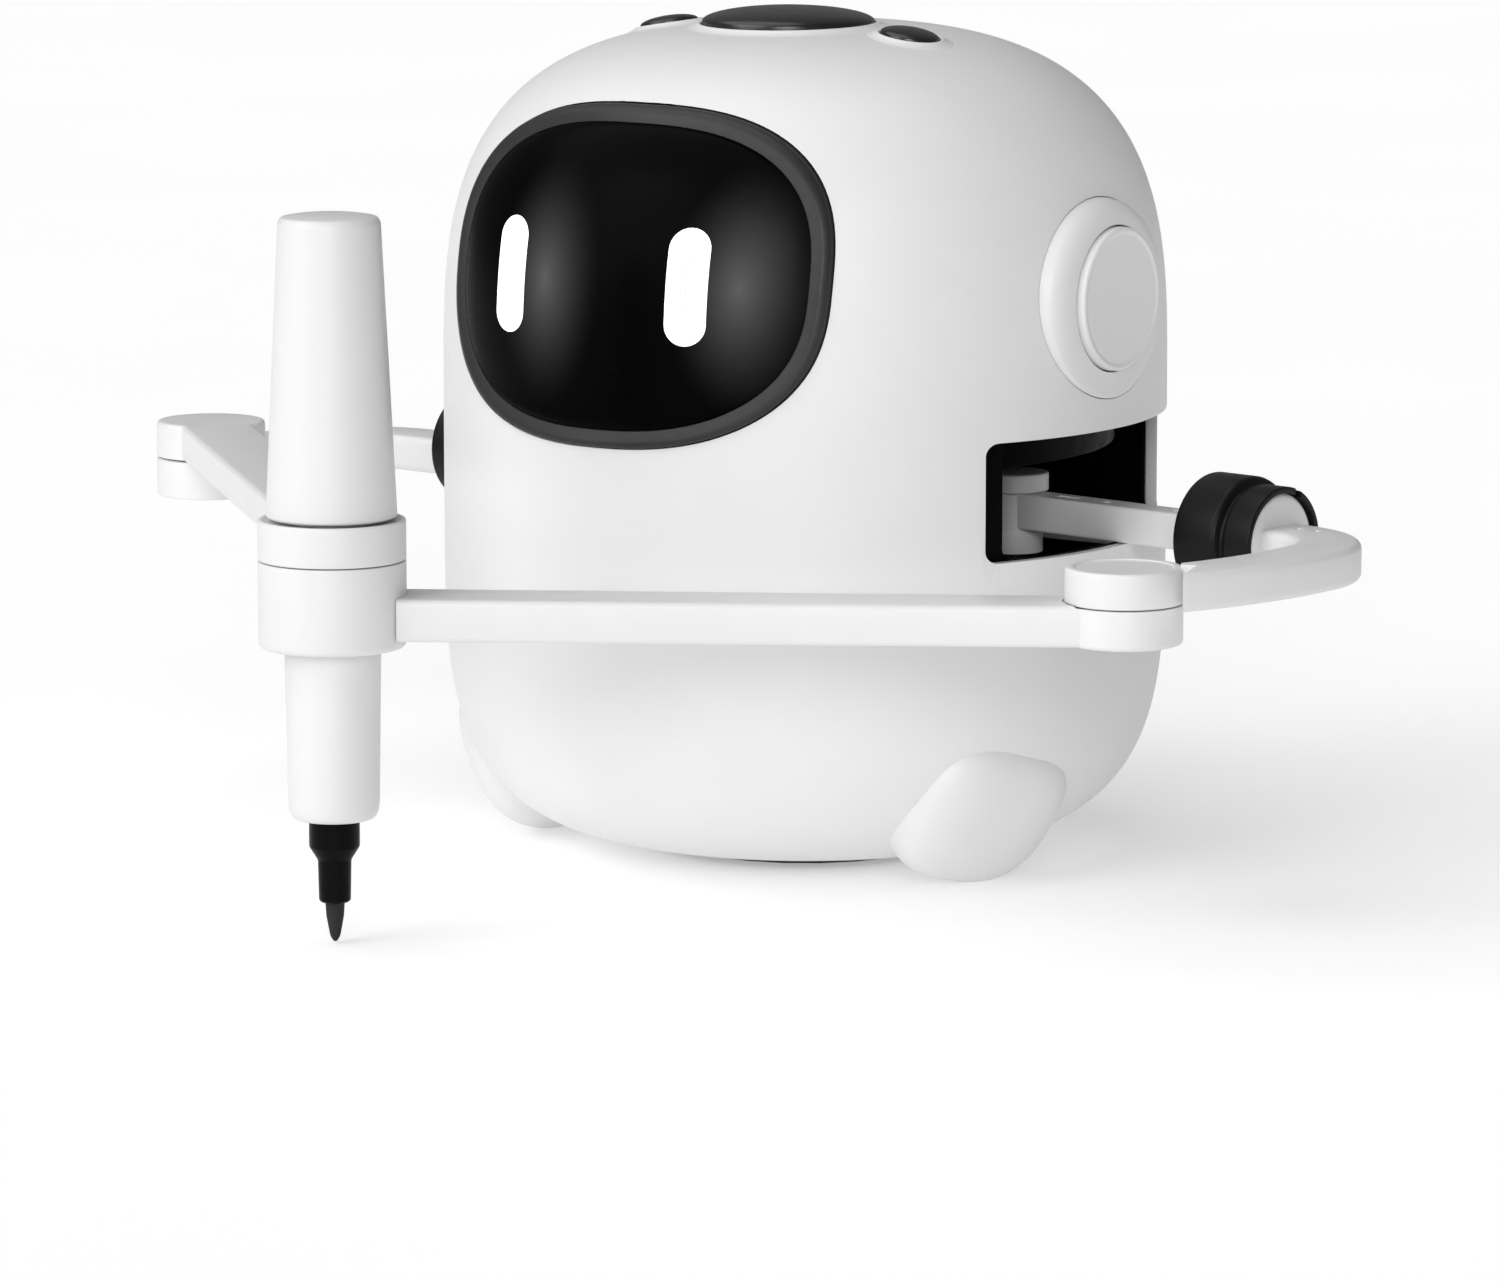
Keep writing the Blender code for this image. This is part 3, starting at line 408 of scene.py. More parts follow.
def softened(corners, steps=5):
    """Round the corners of an outline. Each corner is (a, b) or (a, b, radius)."""
    points = []
    for i, corner in enumerate(corners):
        here = Vector(corner[:2])
        radius = corner[2] if len(corner) > 2 else 0.0
        if not radius or i in (0, len(corners) - 1):
            points.append(tuple(here))
            continue
        before = Vector(corners[i - 1][:2]) - here
        after = Vector(corners[i + 1][:2]) - here
        start = here + before.normalized() * min(radius, before.length * 0.49)
        end = here + after.normalized() * min(radius, after.length * 0.49)
        for k in range(steps + 1):
            t = k / steps
            bow = 2 * t * (1 - t)
            points.append(tuple(start * (1 - t) ** 2 + here * bow + end * t * t))
    return points


def lathe(name, corners, centre=(0.0, 0.0, 0.0), axis=(0.0, 0.0, 1.0), sides=96, steps=5, loop=False):
    """Turn an outline of (radius, height) corners about an axis through centre."""
    turn = Vector(axis).to_track_quat("Z", "Y").to_matrix()
    outline = softened(corners, steps)
    if loop:
        outline.append(outline[0])
    rings = []
    for radius, height in outline:
        ring = []
        for i in range(sides):
            angle = FULL_TURN * i / sides
            spoke = Vector((radius * math.cos(angle), radius * math.sin(angle), height))
            ring.append(Vector(centre) + turn @ spoke)
        rings.append(ring)
    return mesh_from_rings(name, rings)


def rounded_section(half_width, low, high, radius, steps=4):
    """A rounded rectangle of (across, height) points."""
    middle = (low + high) / 2
    half_height = (high - low) / 2
    points = []
    for corner in range(4):
        side = 1 if corner in (0, 3) else -1
        level = 1 if corner in (0, 1) else -1
        for k in range(steps + 1):
            angle = math.pi / 2 * (corner + k / steps)
            across = side * (half_width - radius) + radius * math.cos(angle)
            height = middle + level * (half_height - radius) + radius * math.sin(angle)
            points.append((across, height))
    return points


def ribbon(name, track, section):
    """Sweep a section of (across, height) points along a level track of (x, y) points.

    section is a list for the whole track or a function of the share of the way along it.
    """
    rings = []
    for i, here in enumerate(track):
        before = track[max(i - 1, 0)]
        after = track[min(i + 1, len(track) - 1)]
        along = (Vector(after) - Vector(before)).normalized()
        across = Vector((along.y, -along.x))
        shape = section(i / (len(track) - 1)) if callable(section) else section
        ring = []
        for side, height in shape:
            place = Vector(here) + across * side
            ring.append((place.x, place.y, height))
        rings.append(ring)
    return mesh_from_rings(name, rings, ends=True)


def scratch(mesh):
    """A temporary object for a boolean."""
    made = bpy.data.objects.new(mesh.name, mesh)
    bpy.context.scene.collection.objects.link(made)
    return made


def applied(base):
    """The mesh that an object's modifiers make of it."""
    bpy.context.view_layer.update()
    graph = bpy.context.evaluated_depsgraph_get()
    return bpy.data.meshes.new_from_object(base.evaluated_get(graph))


def combine(mesh, others, operation):
    """Union with, or cut by, a list of meshes."""
    base = scratch(mesh)
    tools = [scratch(other) for other in others]
    for tool in tools:
        step = base.modifiers.new("combine", "BOOLEAN")
        step.operation = operation
        step.object = tool
        step.solver = "EXACT"
    result = applied(base)
    for used in [base, *tools]:
        bpy.data.objects.remove(used, do_unlink=True)
    return result


def tidy_edges(mesh, shortest):
    """Close up the slivers that a boolean leaves, so that a bevel has room."""
    shape = bmesh.new()
    shape.from_mesh(mesh)
    bmesh.ops.dissolve_degenerate(shape, edges=shape.edges, dist=shortest)
    bmesh.ops.remove_doubles(shape, verts=shape.verts, dist=shortest * 0.5)
    shape.to_mesh(mesh)
    shape.free()
    return mesh


def rounded_edges(mesh, width, segments=3, angle=35.0):
    base = scratch(mesh)
    step = base.modifiers.new("rounding", "BEVEL")
    step.width = width
    step.segments = segments
    step.limit_method = "ANGLE"
    step.angle_limit = math.radians(angle)
    step.use_clamp_overlap = True
    result = applied(base)
    bpy.data.objects.remove(base, do_unlink=True)
    return result


def merged(name, meshes):
    """Several meshes as one, without a boolean."""
    shape = bmesh.new()
    for mesh in meshes:
        shape.from_mesh(mesh)
    made = bpy.data.meshes.new(name)
    shape.to_mesh(made)
    shape.free()
    return made


def add_piece(name, mesh, body, slot, look, *replaced, sharp=38.0):
    made = bpy.data.objects.new(name, mesh)
    bpy.context.scene.collection.objects.link(made)
    mesh.materials.clear()
    mesh.materials.append(look)
    mesh.shade_smooth()
    if sharp:
        mesh.set_sharp_from_angle(angle=math.radians(sharp))
    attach(made, body)
    if replaced:
        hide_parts(*replaced)
    return made


# Body surface

def dome_radius(z, offset=0.0):
    part = (z - DOME_START) / (BODY_TOP + offset - DOME_START)
    part = min(max(part, 0.0), 1.0)
    return (BODY_RADIUS + offset) * (1 - part ** DOME_HEIGHT_POWER) ** (1 / DOME_RADIUS_POWER)


def dome_outline(offset, steps):
    points = []
    for i in range(steps + 1):
        turn = math.pi / 2 * (1 - i / steps)
        height = math.sin(turn) ** (2 / DOME_HEIGHT_POWER)
        radius = max(math.cos(turn), 0.0) ** (2 / DOME_RADIUS_POWER)
        z = DOME_START + (BODY_TOP + offset - DOME_START) * height
        points.append(((BODY_RADIUS + offset) * radius, z))
    points[0] = (0.0, points[0][1])
    return points


def bowl_outline(offset, steps):
    drop = BOWL_START - BODY_LOW + offset
    points = []
    for i in range(steps + 1):
        turn = math.pi / 2 * i / steps
        height = math.sin(turn) ** (2 / BOWL_HEIGHT_POWER)
        swell = max(math.cos(turn), 0.0) ** (2 / BOWL_RADIUS_POWER)
        radius = BASE_RADIUS + (BODY_RADIUS + offset - BASE_RADIUS) * swell
        points.append((radius, BOWL_START - drop * height))
    return points


def superellipse(half_width, half_height, count=120):
    """A rounded outline of (x, z) points about the face's centre."""
    points = []
    for i in range(count):
        turn = FULL_TURN * i / count
        across = abs(math.cos(turn)) ** (2 / FACE_POWER)
        up = abs(math.sin(turn)) ** (2 / FACE_POWER)
        x = math.copysign(half_width * across, math.cos(turn))
        z = math.copysign(half_height * up, math.sin(turn))
        points.append((x, FACE_CENTRE_Z + z))
    return points


def pill(centre_x, width, height, arc=16, side=14):
    """A slot outline with round ends about (centre_x, EYE_Z)."""
    radius = width / 2
    straight = height / 2 - radius
    points = []
    for end in (1, -1):
        for k in range(arc + 1):
            turn = math.pi * (k / arc + (0 if end > 0 else 1))
            points.append((radius * math.cos(turn), end * straight + radius * math.sin(turn)))
        for k in range(1, side):
            points.append((-end * radius, end * straight * (1 - 2 * k / side)))
    return [(centre_x + x, EYE_Z + z) for x, z in points]


def on_front(x, z, offset):
    """A point in front of the dome's front, straight ahead of (x, z)."""
    radius = dome_radius(z, offset)
    return (x, -math.sqrt(max(radius ** 2 - x ** 2, 0.0)), z)


def front_layers(name, layers):
    """Join outlines on the dome's front, each an (outline, offset) pair, from outside to centre."""
    rings = []
    for outline, offset in layers:
        rings.append([on_front(x, z, offset) for x, z in outline])
    return mesh_from_rings(name, rings)


def prism(name, outline, near=20 * MM, far=90 * MM):
    """An outline in XZ pushed along -Y through the front."""
    rings = [[(x, -depth, z) for x, z in outline] for depth in (near, far)]
    return mesh_from_rings(name, rings, ends=True)


def window_tool(side, grown=0.0, lip=0.0):
    """A rounded slot through one side of the body, grown all round or narrowed at its front edge."""
    half = BODY_RADIUS * math.sin(WINDOW_HALF_ANGLE) + grown
    section = rounded_section(half, WINDOW_LOW - grown, WINDOW_HIGH + grown, WINDOW_CORNER, 6)
    turn = Matrix.Rotation(side * (WINDOW_ANGLE + math.pi), 3, "Z")
    rings = []
    for out in (40 * MM, 84 * MM):
        ring = []
        for across, height in section:
            front = side * across > 0
            ring.append(turn @ Vector((across - side * lip if front else across, out, height)))
        rings.append(ring)
    return mesh_from_rings("window_tool", rings, ends=True)


def box_mesh(name, low, high, rounding=0.0, segments=3):
    shape = bmesh.new()
    bmesh.ops.create_cube(shape, size=1.0)
    low = Vector(low)
    high = Vector(high)
    bmesh.ops.scale(shape, vec=high - low, verts=shape.verts)
    bmesh.ops.translate(shape, vec=(low + high) / 2, verts=shape.verts)
    if rounding:
        bmesh.ops.bevel(
            shape,
            geom=shape.edges[:] + shape.verts[:],
            offset=rounding,
            segments=segments,
            profile=0.5,
            affect="EDGES",
        )
    return finish_mesh(name, shape)


def surface_normal(point):
    """The body's outward direction at a point on its outer surface, and how far off it the point is."""
    radius = math.hypot(point.x, point.y)
    step = 0.02 * MM
    if point.z >= DOME_START:
        span = BODY_TOP - DOME_START
        part = max((point.z - DOME_START) / span, 0.0)
        reach = radius / BODY_RADIUS
        value = part ** DOME_HEIGHT_POWER + reach ** DOME_RADIUS_POWER
        up = DOME_HEIGHT_POWER * part ** (DOME_HEIGHT_POWER - 1) / span
        out = DOME_RADIUS_POWER * reach ** (DOME_RADIUS_POWER - 1) / BODY_RADIUS
    elif point.z <= BOWL_START:
        span = BOWL_START - BODY_LOW
        part = (BOWL_START - point.z) / span
        reach = max((radius - BASE_RADIUS) / (BODY_RADIUS - BASE_RADIUS), 0.0)
        value = part ** BOWL_HEIGHT_POWER + reach ** BOWL_RADIUS_POWER
        up = -BOWL_HEIGHT_POWER * part ** (BOWL_HEIGHT_POWER - 1) / span
        out = BOWL_RADIUS_POWER * reach ** (BOWL_RADIUS_POWER - 1) / (BODY_RADIUS - BASE_RADIUS)
    else:
        value = radius / BODY_RADIUS
        up = 0.0
        out = 1 / BODY_RADIUS
    slope = math.hypot(up, out)
    if slope < 1.0 or radius < step:
        return Vector((0.0, 0.0, 1.0)), abs(point.z - BODY_TOP)
    across = Vector((point.x, point.y)) / radius
    normal = Vector((across.x * out, across.y * out, up)) / slope
    return normal, abs(value - 1) / slope


def smooth_by_surface(mesh):
    """Give every point of the outer skin the body's own normal, so that openings leave no ripples."""
    wanted = []
    for vertex in mesh.vertices:
        normal, off = surface_normal(vertex.co)
        on_skin = off < 0.012 * MM and vertex.normal.dot(normal) > 0.8
        wanted.append(tuple(normal) if on_skin else (0.0, 0.0, 0.0))
    mesh.normals_split_custom_set_from_vertices(wanted)


# Body pieces

def button_places():
    return [
        ("main_button", 0.0, BIG_BUTTON_RADIUS),
        ("left_button", SMALL_BUTTON_X, SMALL_BUTTON_RADIUS),
        ("right_button", -SMALL_BUTTON_X, SMALL_BUTTON_RADIUS),
    ]


def dome_height(x, y):
    part = 1 - (math.hypot(x, y) / BODY_RADIUS) ** DOME_RADIUS_POWER
    return DOME_START + (BODY_TOP - DOME_START) * part ** (1 / DOME_HEIGHT_POWER)


def body_tools():
    """Everything that is cut out of the body."""
    tools = [window_tool(1), window_tool(-1)]
    opening = (BEZEL_HALF[0] + FITTING_GAP, BEZEL_HALF[1] + FITTING_GAP)
    tools.append(prism("face_tool", superellipse(*opening)))
    for side in (1, -1):
        outline = ear_ellipse(SEAM, 96)
        rings = [[(side * out, y, z) for y, z in outline] for out in (40 * MM, 80 * MM)]
        tools.append(mesh_from_rings("ear_tool", rings, ends=True))
    for _, x, radius in button_places():
        edge = radius + FITTING_GAP
        corners = [(0.0, 160 * MM), (edge, 160 * MM), (edge, 136 * MM), (0.0, 136 * MM)]
        tools.append(lathe("button_tool", corners, (x, BUTTON_Y, 0), sides=64))
    low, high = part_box("charge_socket")
    slot_edge = 0.6 * MM
    slot_low = (low.x - slot_edge, 50 * MM, low.z - slot_edge)
    slot_high = (high.x + slot_edge, 72 * MM, high.z + slot_edge)
    tools.append(box_mesh("socket_tool", slot_low, slot_high, 1.4 * MM))
    for number in range(1, 5):
        low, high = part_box(f"shell_screw_{number}")
        centre = ((low.x + high.x) / 2, 0.0, (low.z + high.z) / 2)
        corners = [(0.0, 80 * MM), (SCREW_BORE, 80 * MM), (SCREW_BORE, 30 * MM), (0.0, 30 * MM)]
        tools.append(lathe("screw_tool", corners, centre, (0, 1, 0), 40))
    return merged("body_tools", tools)


def ear_ellipse(grown, count):
    """The ear ring's outline of (y, z) points, which is wider than it is high."""
    half_width = EAR_RING_HALF[0] + grown
    half_height = EAR_RING_HALF[1] + grown
    turns = [FULL_TURN * i / count for i in range(count)]
    return [(half_width * math.cos(t), EAR_Z + half_height * math.sin(t)) for t in turns]


def make_shells():
    outer = dome_outline(0.0, 52) + bowl_outline(0.0, 40)
    inner = dome_outline(-WALL, 26) + bowl_outline(-WALL, 20)
    whole = combine(lathe("shell", outer + inner[::-1], sides=BODY_SIDES), [body_tools()], "DIFFERENCE")
    reach = 100 * MM
    halves = (
        ("front_shell_skin", (SPLIT_Y - 0.1 * MM, reach), "front_shell"),
        ("rear_shell_skin", (-reach, SPLIT_Y + 0.1 * MM), "rear_shell"),
    )
    for name, (near, far), node in halves:
        knife = box_mesh("split", (-reach, near, -reach), (reach, far, 2 * reach))
        half = combine(whole.copy(), [knife], "DIFFERENCE")
        half = rounded_edges(tidy_edges(half, 0.22 * MM), 0.4 * MM)
        piece = add_piece(name, half, ROOT, "shell_white", SHELL, node, sharp=0)
        smooth_by_surface(piece.data)
    for button, x, radius in button_places():
        add_piece(button + "_rim", button_rim(button, x, radius), ROOT, "shell_white", SHELL)
    add_piece("arm_bay_liner", arm_bay_liner(), ROOT, "inner_black", INNER)


def button_rim(name, x, radius, count=96):
    """A low raised lip round a button, which follows the dome."""
    profile = softened(RIM_SECTION, 4)
    rings = []
    for distance, rise in profile + profile[:1]:
        reach = radius + distance
        ring = []
        for i in range(count):
            turn = FULL_TURN * i / count
            place = (x + reach * math.cos(turn), BUTTON_Y + reach * math.sin(turn))
            ring.append((*place, dome_height(*place) + rise))
        rings.append(ring)
    return mesh_from_rings(name + "_rim", rings)


def arm_bay_liner():
    """The black lining behind the windows, which narrows each of them at the front."""
    outside = BODY_RADIUS - WALL - SEAM
    inside = outside - LINER_THICKNESS
    low = WINDOW_LOW - LINER_REACH
    high = WINDOW_HIGH + LINER_REACH
    corners = [(outside, high), (outside, low), (inside, low), (inside, high)]
    band = lathe("liner", corners, sides=192, loop=True)
    openings = [window_tool(side, 0.0, LINER_LIP) for side in (1, -1)]
    return rounded_edges(combine(band, openings, "DIFFERENCE"), 0.2 * MM, 2)


def inset(half, distance):
    return superellipse(half[0] - distance, half[1] - distance)


def make_face():
    bezel = []
    for distance, offset in softened(BEZEL_SECTION, 4):
        bezel.append((inset(BEZEL_HALF, distance), offset))
    mesh = front_layers("bezel_ring", bezel)
    add_piece("bezel_ring", mesh, ROOT, "bezel_grey", BEZEL, "face_bezel")
    screen = [(inset(SCREEN_HALF, 0.0), -2.0 * MM)]
    for i in range(41):
        share = 1 - (i / 40) ** 1.6
        lift = SCREEN_EDGE + (SCREEN_CROWN - SCREEN_EDGE) * (1 - share ** 5) ** 0.5
        share = max(share, 0.0005)
        screen.append((superellipse(SCREEN_HALF[0] * share, SCREEN_HALF[1] * share), lift))
    mesh = front_layers("screen_lens", screen)
    add_piece("screen_lens", mesh, ROOT, "screen_black", SCREEN, "face_screen")
    for side, name in ((1, "left_eye"), (-1, "right_eye")):
        layers = [(pill(EYE_SHIFT + side * EYE_X, *EYE_SIZE), SCREEN_CROWN - 0.4 * MM)]
        for cut_in, lift in EYE_DOME:
            size = (EYE_SIZE[0] - 2 * cut_in * MM, EYE_SIZE[1] - 2 * cut_in * MM)
            layers.append((pill(EYE_SHIFT + side * EYE_X, *size), SCREEN_CROWN + lift * MM))
        add_piece(name + "_lit", front_layers(name, layers), ROOT, "eye_white", EYE, name)


def body_side(y, z):
    """How far out the body's side is at a place in YZ."""
    radius = dome_radius(z) if z > DOME_START else BODY_RADIUS
    return math.sqrt(max(radius ** 2 - y ** 2, 0.0))


def ear_ring(name, side, count=144, steps=20):
    """A convex ring that rises from the body's own surface to a round hole."""
    outer = ear_ellipse(0.0, count)
    inner = [(EAR_RIM_RADIUS * y / EAR_RING_HALF[0], z) for y, z in outer]
    inner = [(y, EAR_Z + (z - EAR_Z) * EAR_RIM_RADIUS / EAR_RING_HALF[1]) for y, z in inner]
    rings = []
    for sunk in (2.6 * MM, 0.25 * MM):
        rings.append([(side * (body_side(y, z) - sunk), y, z) for y, z in outer])
    for i in range(steps + 1):
        share = math.sin(math.pi / 2 * i / steps)
        ring = []
        for (y0, z0), (y1, z1) in zip(outer, inner):
            place = (y1 + (y0 - y1) * (1 - share * 0.99), z1 + (z0 - z1) * (1 - share * 0.99))
            edge = body_side(y0, z0) + 0.05 * MM
            swell = math.sqrt(1 - (1 - share) ** 2)
            ring.append((side * (edge + (EAR_RIM_HEIGHT - edge) * swell), *place))
        rings.append(ring)
    for out in (EAR_RIM_HEIGHT - 0.3 * MM, 58.0 * MM):
        rings.append([(side * out, y, z) for y, z in inner])
    rings.append(rings[0])
    return mesh_from_rings(name, rings)


def make_ears():
    cap = [
        (0.0, 66.7 * MM),
        (9.5 * MM, 66.65 * MM, 2.0 * MM),
        (11.4 * MM, 66.6 * MM, 0.4 * MM),
        (12.0 * MM, 66.9 * MM, 0.5 * MM),
        (EAR_CAP_RADIUS, 66.6 * MM, 0.35 * MM),
        (EAR_CAP_RADIUS, 59.0 * MM),
        (0.0, 59.0 * MM),
    ]
    for side, name in ((1, "left"), (-1, "right")):
        ring = ear_ring(name + "_ear_ring", side)
        add_piece(name + "_ear_ring_skin", ring, ROOT, "shell_white", SHELL, name + "_ear_ring", sharp=50.0)
        mesh = lathe(name + "_ear_cap", cap, (0, 0, EAR_Z), (side, 0, 0), 128)
        add_piece(name + "_ear_cap_turned", mesh, ROOT, "shell_white", SHELL, name + "_ear_cap")


def make_buttons():
    for name, x, radius in button_places():
        low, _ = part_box(name)
        crown = BIG_BUTTON_CROWN if x == 0 else SMALL_BUTTON_CROWN
        edge = dome_height(x, BUTTON_Y) + BUTTON_RISE
        corners = [(0.0, edge + crown)]
        for i in range(1, 16):
            turn = math.pi / 2 * i / 16
            corners.append((radius * math.sin(turn), edge + crown * math.cos(turn)))
        corners += [(radius, edge - 0.2 * MM), (radius, low.z), (0.0, low.z)]
        mesh = lathe(name, corners, (x, BUTTON_Y, 0), sides=96)
        slope = (dome_height(x + radius, BUTTON_Y) - dome_height(x - radius, BUTTON_Y)) / (2 * radius)
        for vertex in mesh.vertices:
            if vertex.co.z > low.z + 1.0 * MM:
                vertex.co.z += slope * (vertex.co.x - x)
        add_piece(name + "_dome", mesh, name + "_cap", "button_black", BUTTON, name)


def foot_mesh(side):
    """A flipper that leans out along the bowl: a squared ball, flat where it stands."""
    shape = bmesh.new()
    bmesh.ops.create_uvsphere(shape, u_segments=112, v_segments=72, radius=1.0)
    for vert in shape.verts:
        swell = sum(abs(value) ** FOOT_POWER for value in vert.co) ** (-1 / FOOT_POWER)
        vert.co = Vector(half * value * swell for half, value in zip(FOOT_HALF, vert.co))
    toe, lean, roll = FOOT_TURN
    turn = Matrix.Rotation(toe, 4, "Z") @ Matrix.Rotation(lean, 4, "Y") @ Matrix.Rotation(roll, 4, "X")
    shape.transform(Matrix.Scale(side, 4, (1, 0, 0)) @ Matrix.Translation(FOOT_CENTRE) @ turn)
    mesh = finish_mesh("foot", shape)
    reach = 120 * MM
    floor = box_mesh("floor_cut", (-reach, -reach, -reach), (reach, reach, 0.0))
    core = [(0.0, 60 * MM), (BODY_RADIUS - 0.6 * MM, 60 * MM)]
    core += [place for place in bowl_outline(-0.6 * MM, 48) if place[1] < 58 * MM]
    core += [(BASE_RADIUS, -5 * MM), (0.0, -5 * MM)]
    mesh = combine(mesh, [floor, lathe("bowl_cut", core, sides=BODY_SIDES)], "DIFFERENCE")
    return rounded_edges(tidy_edges(mesh, 0.2 * MM), 0.4 * MM, 3, 50.0)


def make_feet():
    for side, name in ((1, "left_foot"), (-1, "right_foot")):
        add_piece(name + "_flipper", foot_mesh(side), ROOT, "shell_white", SHELL, name, sharp=60.0)


# Arms

def joint_place(name):
    for joint in frame["joints"]:
        if joint["name"] == name:
            return Vector(joint["pos_m"][:2])
    raise ValueError("no joint named " + name)


LEFT_SHOULDER = joint_place("left_shoulder")
RIGHT_SHOULDER = joint_place("right_shoulder")
LEFT_ELBOW = joint_place("left_elbow")
HUB = joint_place("hub_turn")
UPPER_ARM_REACH = (LEFT_ELBOW - LEFT_SHOULDER).length
ELBOW_TURN = math.radians(36.4)
RIGHT_HEADING = math.radians(174.6)


class ArmFrame:
    """Plan coordinates of one upper arm: out along its bar, and forward across it."""

    def __init__(self, side):
        self.body = "left_arm" if side > 0 else "right_arm"
        self.side = side
        self.cuff_end = CUFF_END if side > 0 else CUFF_END + RIGHT_CUFF_SHIFT
        self.elbow_level = LEFT_ELBOW_LEVEL if side > 0 else RIGHT_ELBOW_LEVEL
        self.shoulder = LEFT_SHOULDER if side > 0 else RIGHT_SHOULDER
        heading = RIGHT_HEADING
        if side > 0:
            reach = LEFT_ELBOW - LEFT_SHOULDER
            heading = math.atan2(reach.y, reach.x) + ELBOW_TURN
        self.out = Vector((math.cos(heading), math.sin(heading)))
        self.forward = Vector((side * self.out.y, -side * self.out.x))

    def point(self, out, forward):
        return self.shoulder + self.out * out + self.forward * forward

    def elbow(self):
        return self.point(UPPER_ARM_REACH * math.cos(ELBOW_TURN), UPPER_ARM_REACH * math.sin(ELBOW_TURN))


def hook_track(arm):
    track = [(arm.cuff_end - 2.5 * MM, 0.0), (arm.cuff_end, 0.0)]
    for i in range(33):
        turn = HOOK_TURN * i / 32
        track.append((HOOK_START + HOOK_RADIUS * math.sin(turn), HOOK_RADIUS * (1 - math.cos(turn))))
    start_out, start_forward = track[-1]
    centre_out = start_out - HOOK_END_RADIUS * math.sin(HOOK_TURN)
    centre_forward = start_forward + HOOK_END_RADIUS * math.cos(HOOK_TURN)
    for i in range(1, 17):
        turn = HOOK_TURN + HOOK_END_TURN * i / 16
        out = centre_out + HOOK_END_RADIUS * math.sin(turn)
        track.append((out, centre_forward - HOOK_END_RADIUS * math.cos(turn)))
    return [arm.point(*place) for place in track]


def ring_corners(radius, low, high, low_round=0.4 * MM, high_round=0.7 * MM, dish=0.25 * MM):
    """A solid disc with a shallow dish in its top."""
    return [
        (0.0, high - dish),
        (radius - 1.7 * MM, high - dish, 0.25 * MM),
        (radius - 1.5 * MM, high, 0.25 * MM),
        (radius, high, high_round),
        (radius, low, low_round),
        (0.0, low),
    ]


def hook_trim(arm):
    """What is trimmed off the hook's end: what would hide the elbow's ring or, on the right, pass it."""
    elbow = (UPPER_ARM_REACH * math.cos(ELBOW_TURN), UPPER_ARM_REACH * math.sin(ELBOW_TURN))
    outline = []
    for out, forward in LEFT_TRIM if arm.side > 0 else RIGHT_TRIM:
        outline.append(arm.point(elbow[0] + out * MM, elbow[1] + forward * MM))
    rings = [[(*place, level) for place in outline] for level in (50 * MM, 75 * MM)]
    return mesh_from_rings("hook_trim", rings, ends=True)


def make_upper_arm(name, side):
    arm = ArmFrame(side)
    hook = ribbon(name, hook_track(arm), rounded_section(HOOK_HALF_WIDTH, *HOOK_LEVEL, 1.3 * MM))
    reach = ELBOW_RADIUS - 0.4 * MM
    dish_corners = [(0.0, 75 * MM), (reach, 75 * MM), (reach, HOOK_DISH_LEVEL), (0.0, HOOK_DISH_LEVEL)]
    dish = lathe("dish", dish_corners, (*arm.elbow(), 0), sides=96)
    hook = rounded_edges(combine(hook, [hook_trim(arm), dish], "DIFFERENCE"), 0.5 * MM, 3, 50.0)
    bar_track = [arm.shoulder, arm.point(arm.cuff_end - 0.5 * MM, 0.0)]
    bar = ribbon("bar", bar_track, rounded_section(BAR_HALF_WIDTH, *BAR_LEVEL, 0.6 * MM))
    boss = lathe("boss", SHOULDER_BOSS, (*arm.shoulder, 0), sides=64)
    disc_corners = [
        (0.0, arm.cuff_end - 0.4 * MM),
        (8.0 * MM, arm.cuff_end - 0.5 * MM, 0.6 * MM),
        (8.7 * MM, arm.cuff_end - 1.3 * MM, 0.3 * MM),
        (8.7 * MM, arm.cuff_end - 4 * MM),
        (0.0, arm.cuff_end - 4 * MM),
    ]
    disc = lathe("disc", disc_corners, (*arm.shoulder, CUFF_Z), (*arm.out, 0), 96)
    ring = lathe("elbow_ring", ring_corners(ELBOW_RADIUS, *arm.elbow_level), (*arm.elbow(), 0), sides=96)
    solid = combine(hook, [bar, boss, disc, ring], "UNION")
    solid = combine(solid, [merged("marks", arm_marks(arm))], "DIFFERENCE")
    solid = combine(solid, [elbow_socket(arm)], "DIFFERENCE")
    add_piece(name + "_moulding", solid, arm.body, "arm_white", ARM, name, sharp=30.0)


def elbow_socket(arm):
    """The left elbow's bore for its pin, or the right elbow's wide socket for the loose stub."""
    left_bore = (PIN_BORE, 50 * MM, 63 * MM)
    right_socket = (STUB_SOCKET_RADIUS, 60 * MM, 70 * MM)
    radius, low, high = left_bore if arm.side > 0 else right_socket
    corners = [(0.0, high), (radius, high), (radius, low), (0.0, low)]
    return lathe("socket", corners, (*arm.elbow(), 0), sides=48)


def arm_marks(arm):
    """Shallow oval sinks in the tops of the bar and the hook."""
    places = [(13.0, 5.0, 65.7), (22.0, 1.6, 65.7), (38.0, 3.0, 65.7)]
    places += [(arm.cuff_end / MM + 3.0, 1.2, 65.2), (arm.cuff_end / MM + 7.0, 1.2, 65.2)]
    marks = []
    for out, length, top in places:
        start = (out - length / 2) * MM
        end = (out + length / 2) * MM
        track = [arm.point(start, 0.0), arm.point(end, 0.0)]
        section = rounded_section(0.8 * MM, (top - 0.35) * MM, (top + 1) * MM, 0.3 * MM)
        marks.append(ribbon("mark", track, section))
    return marks


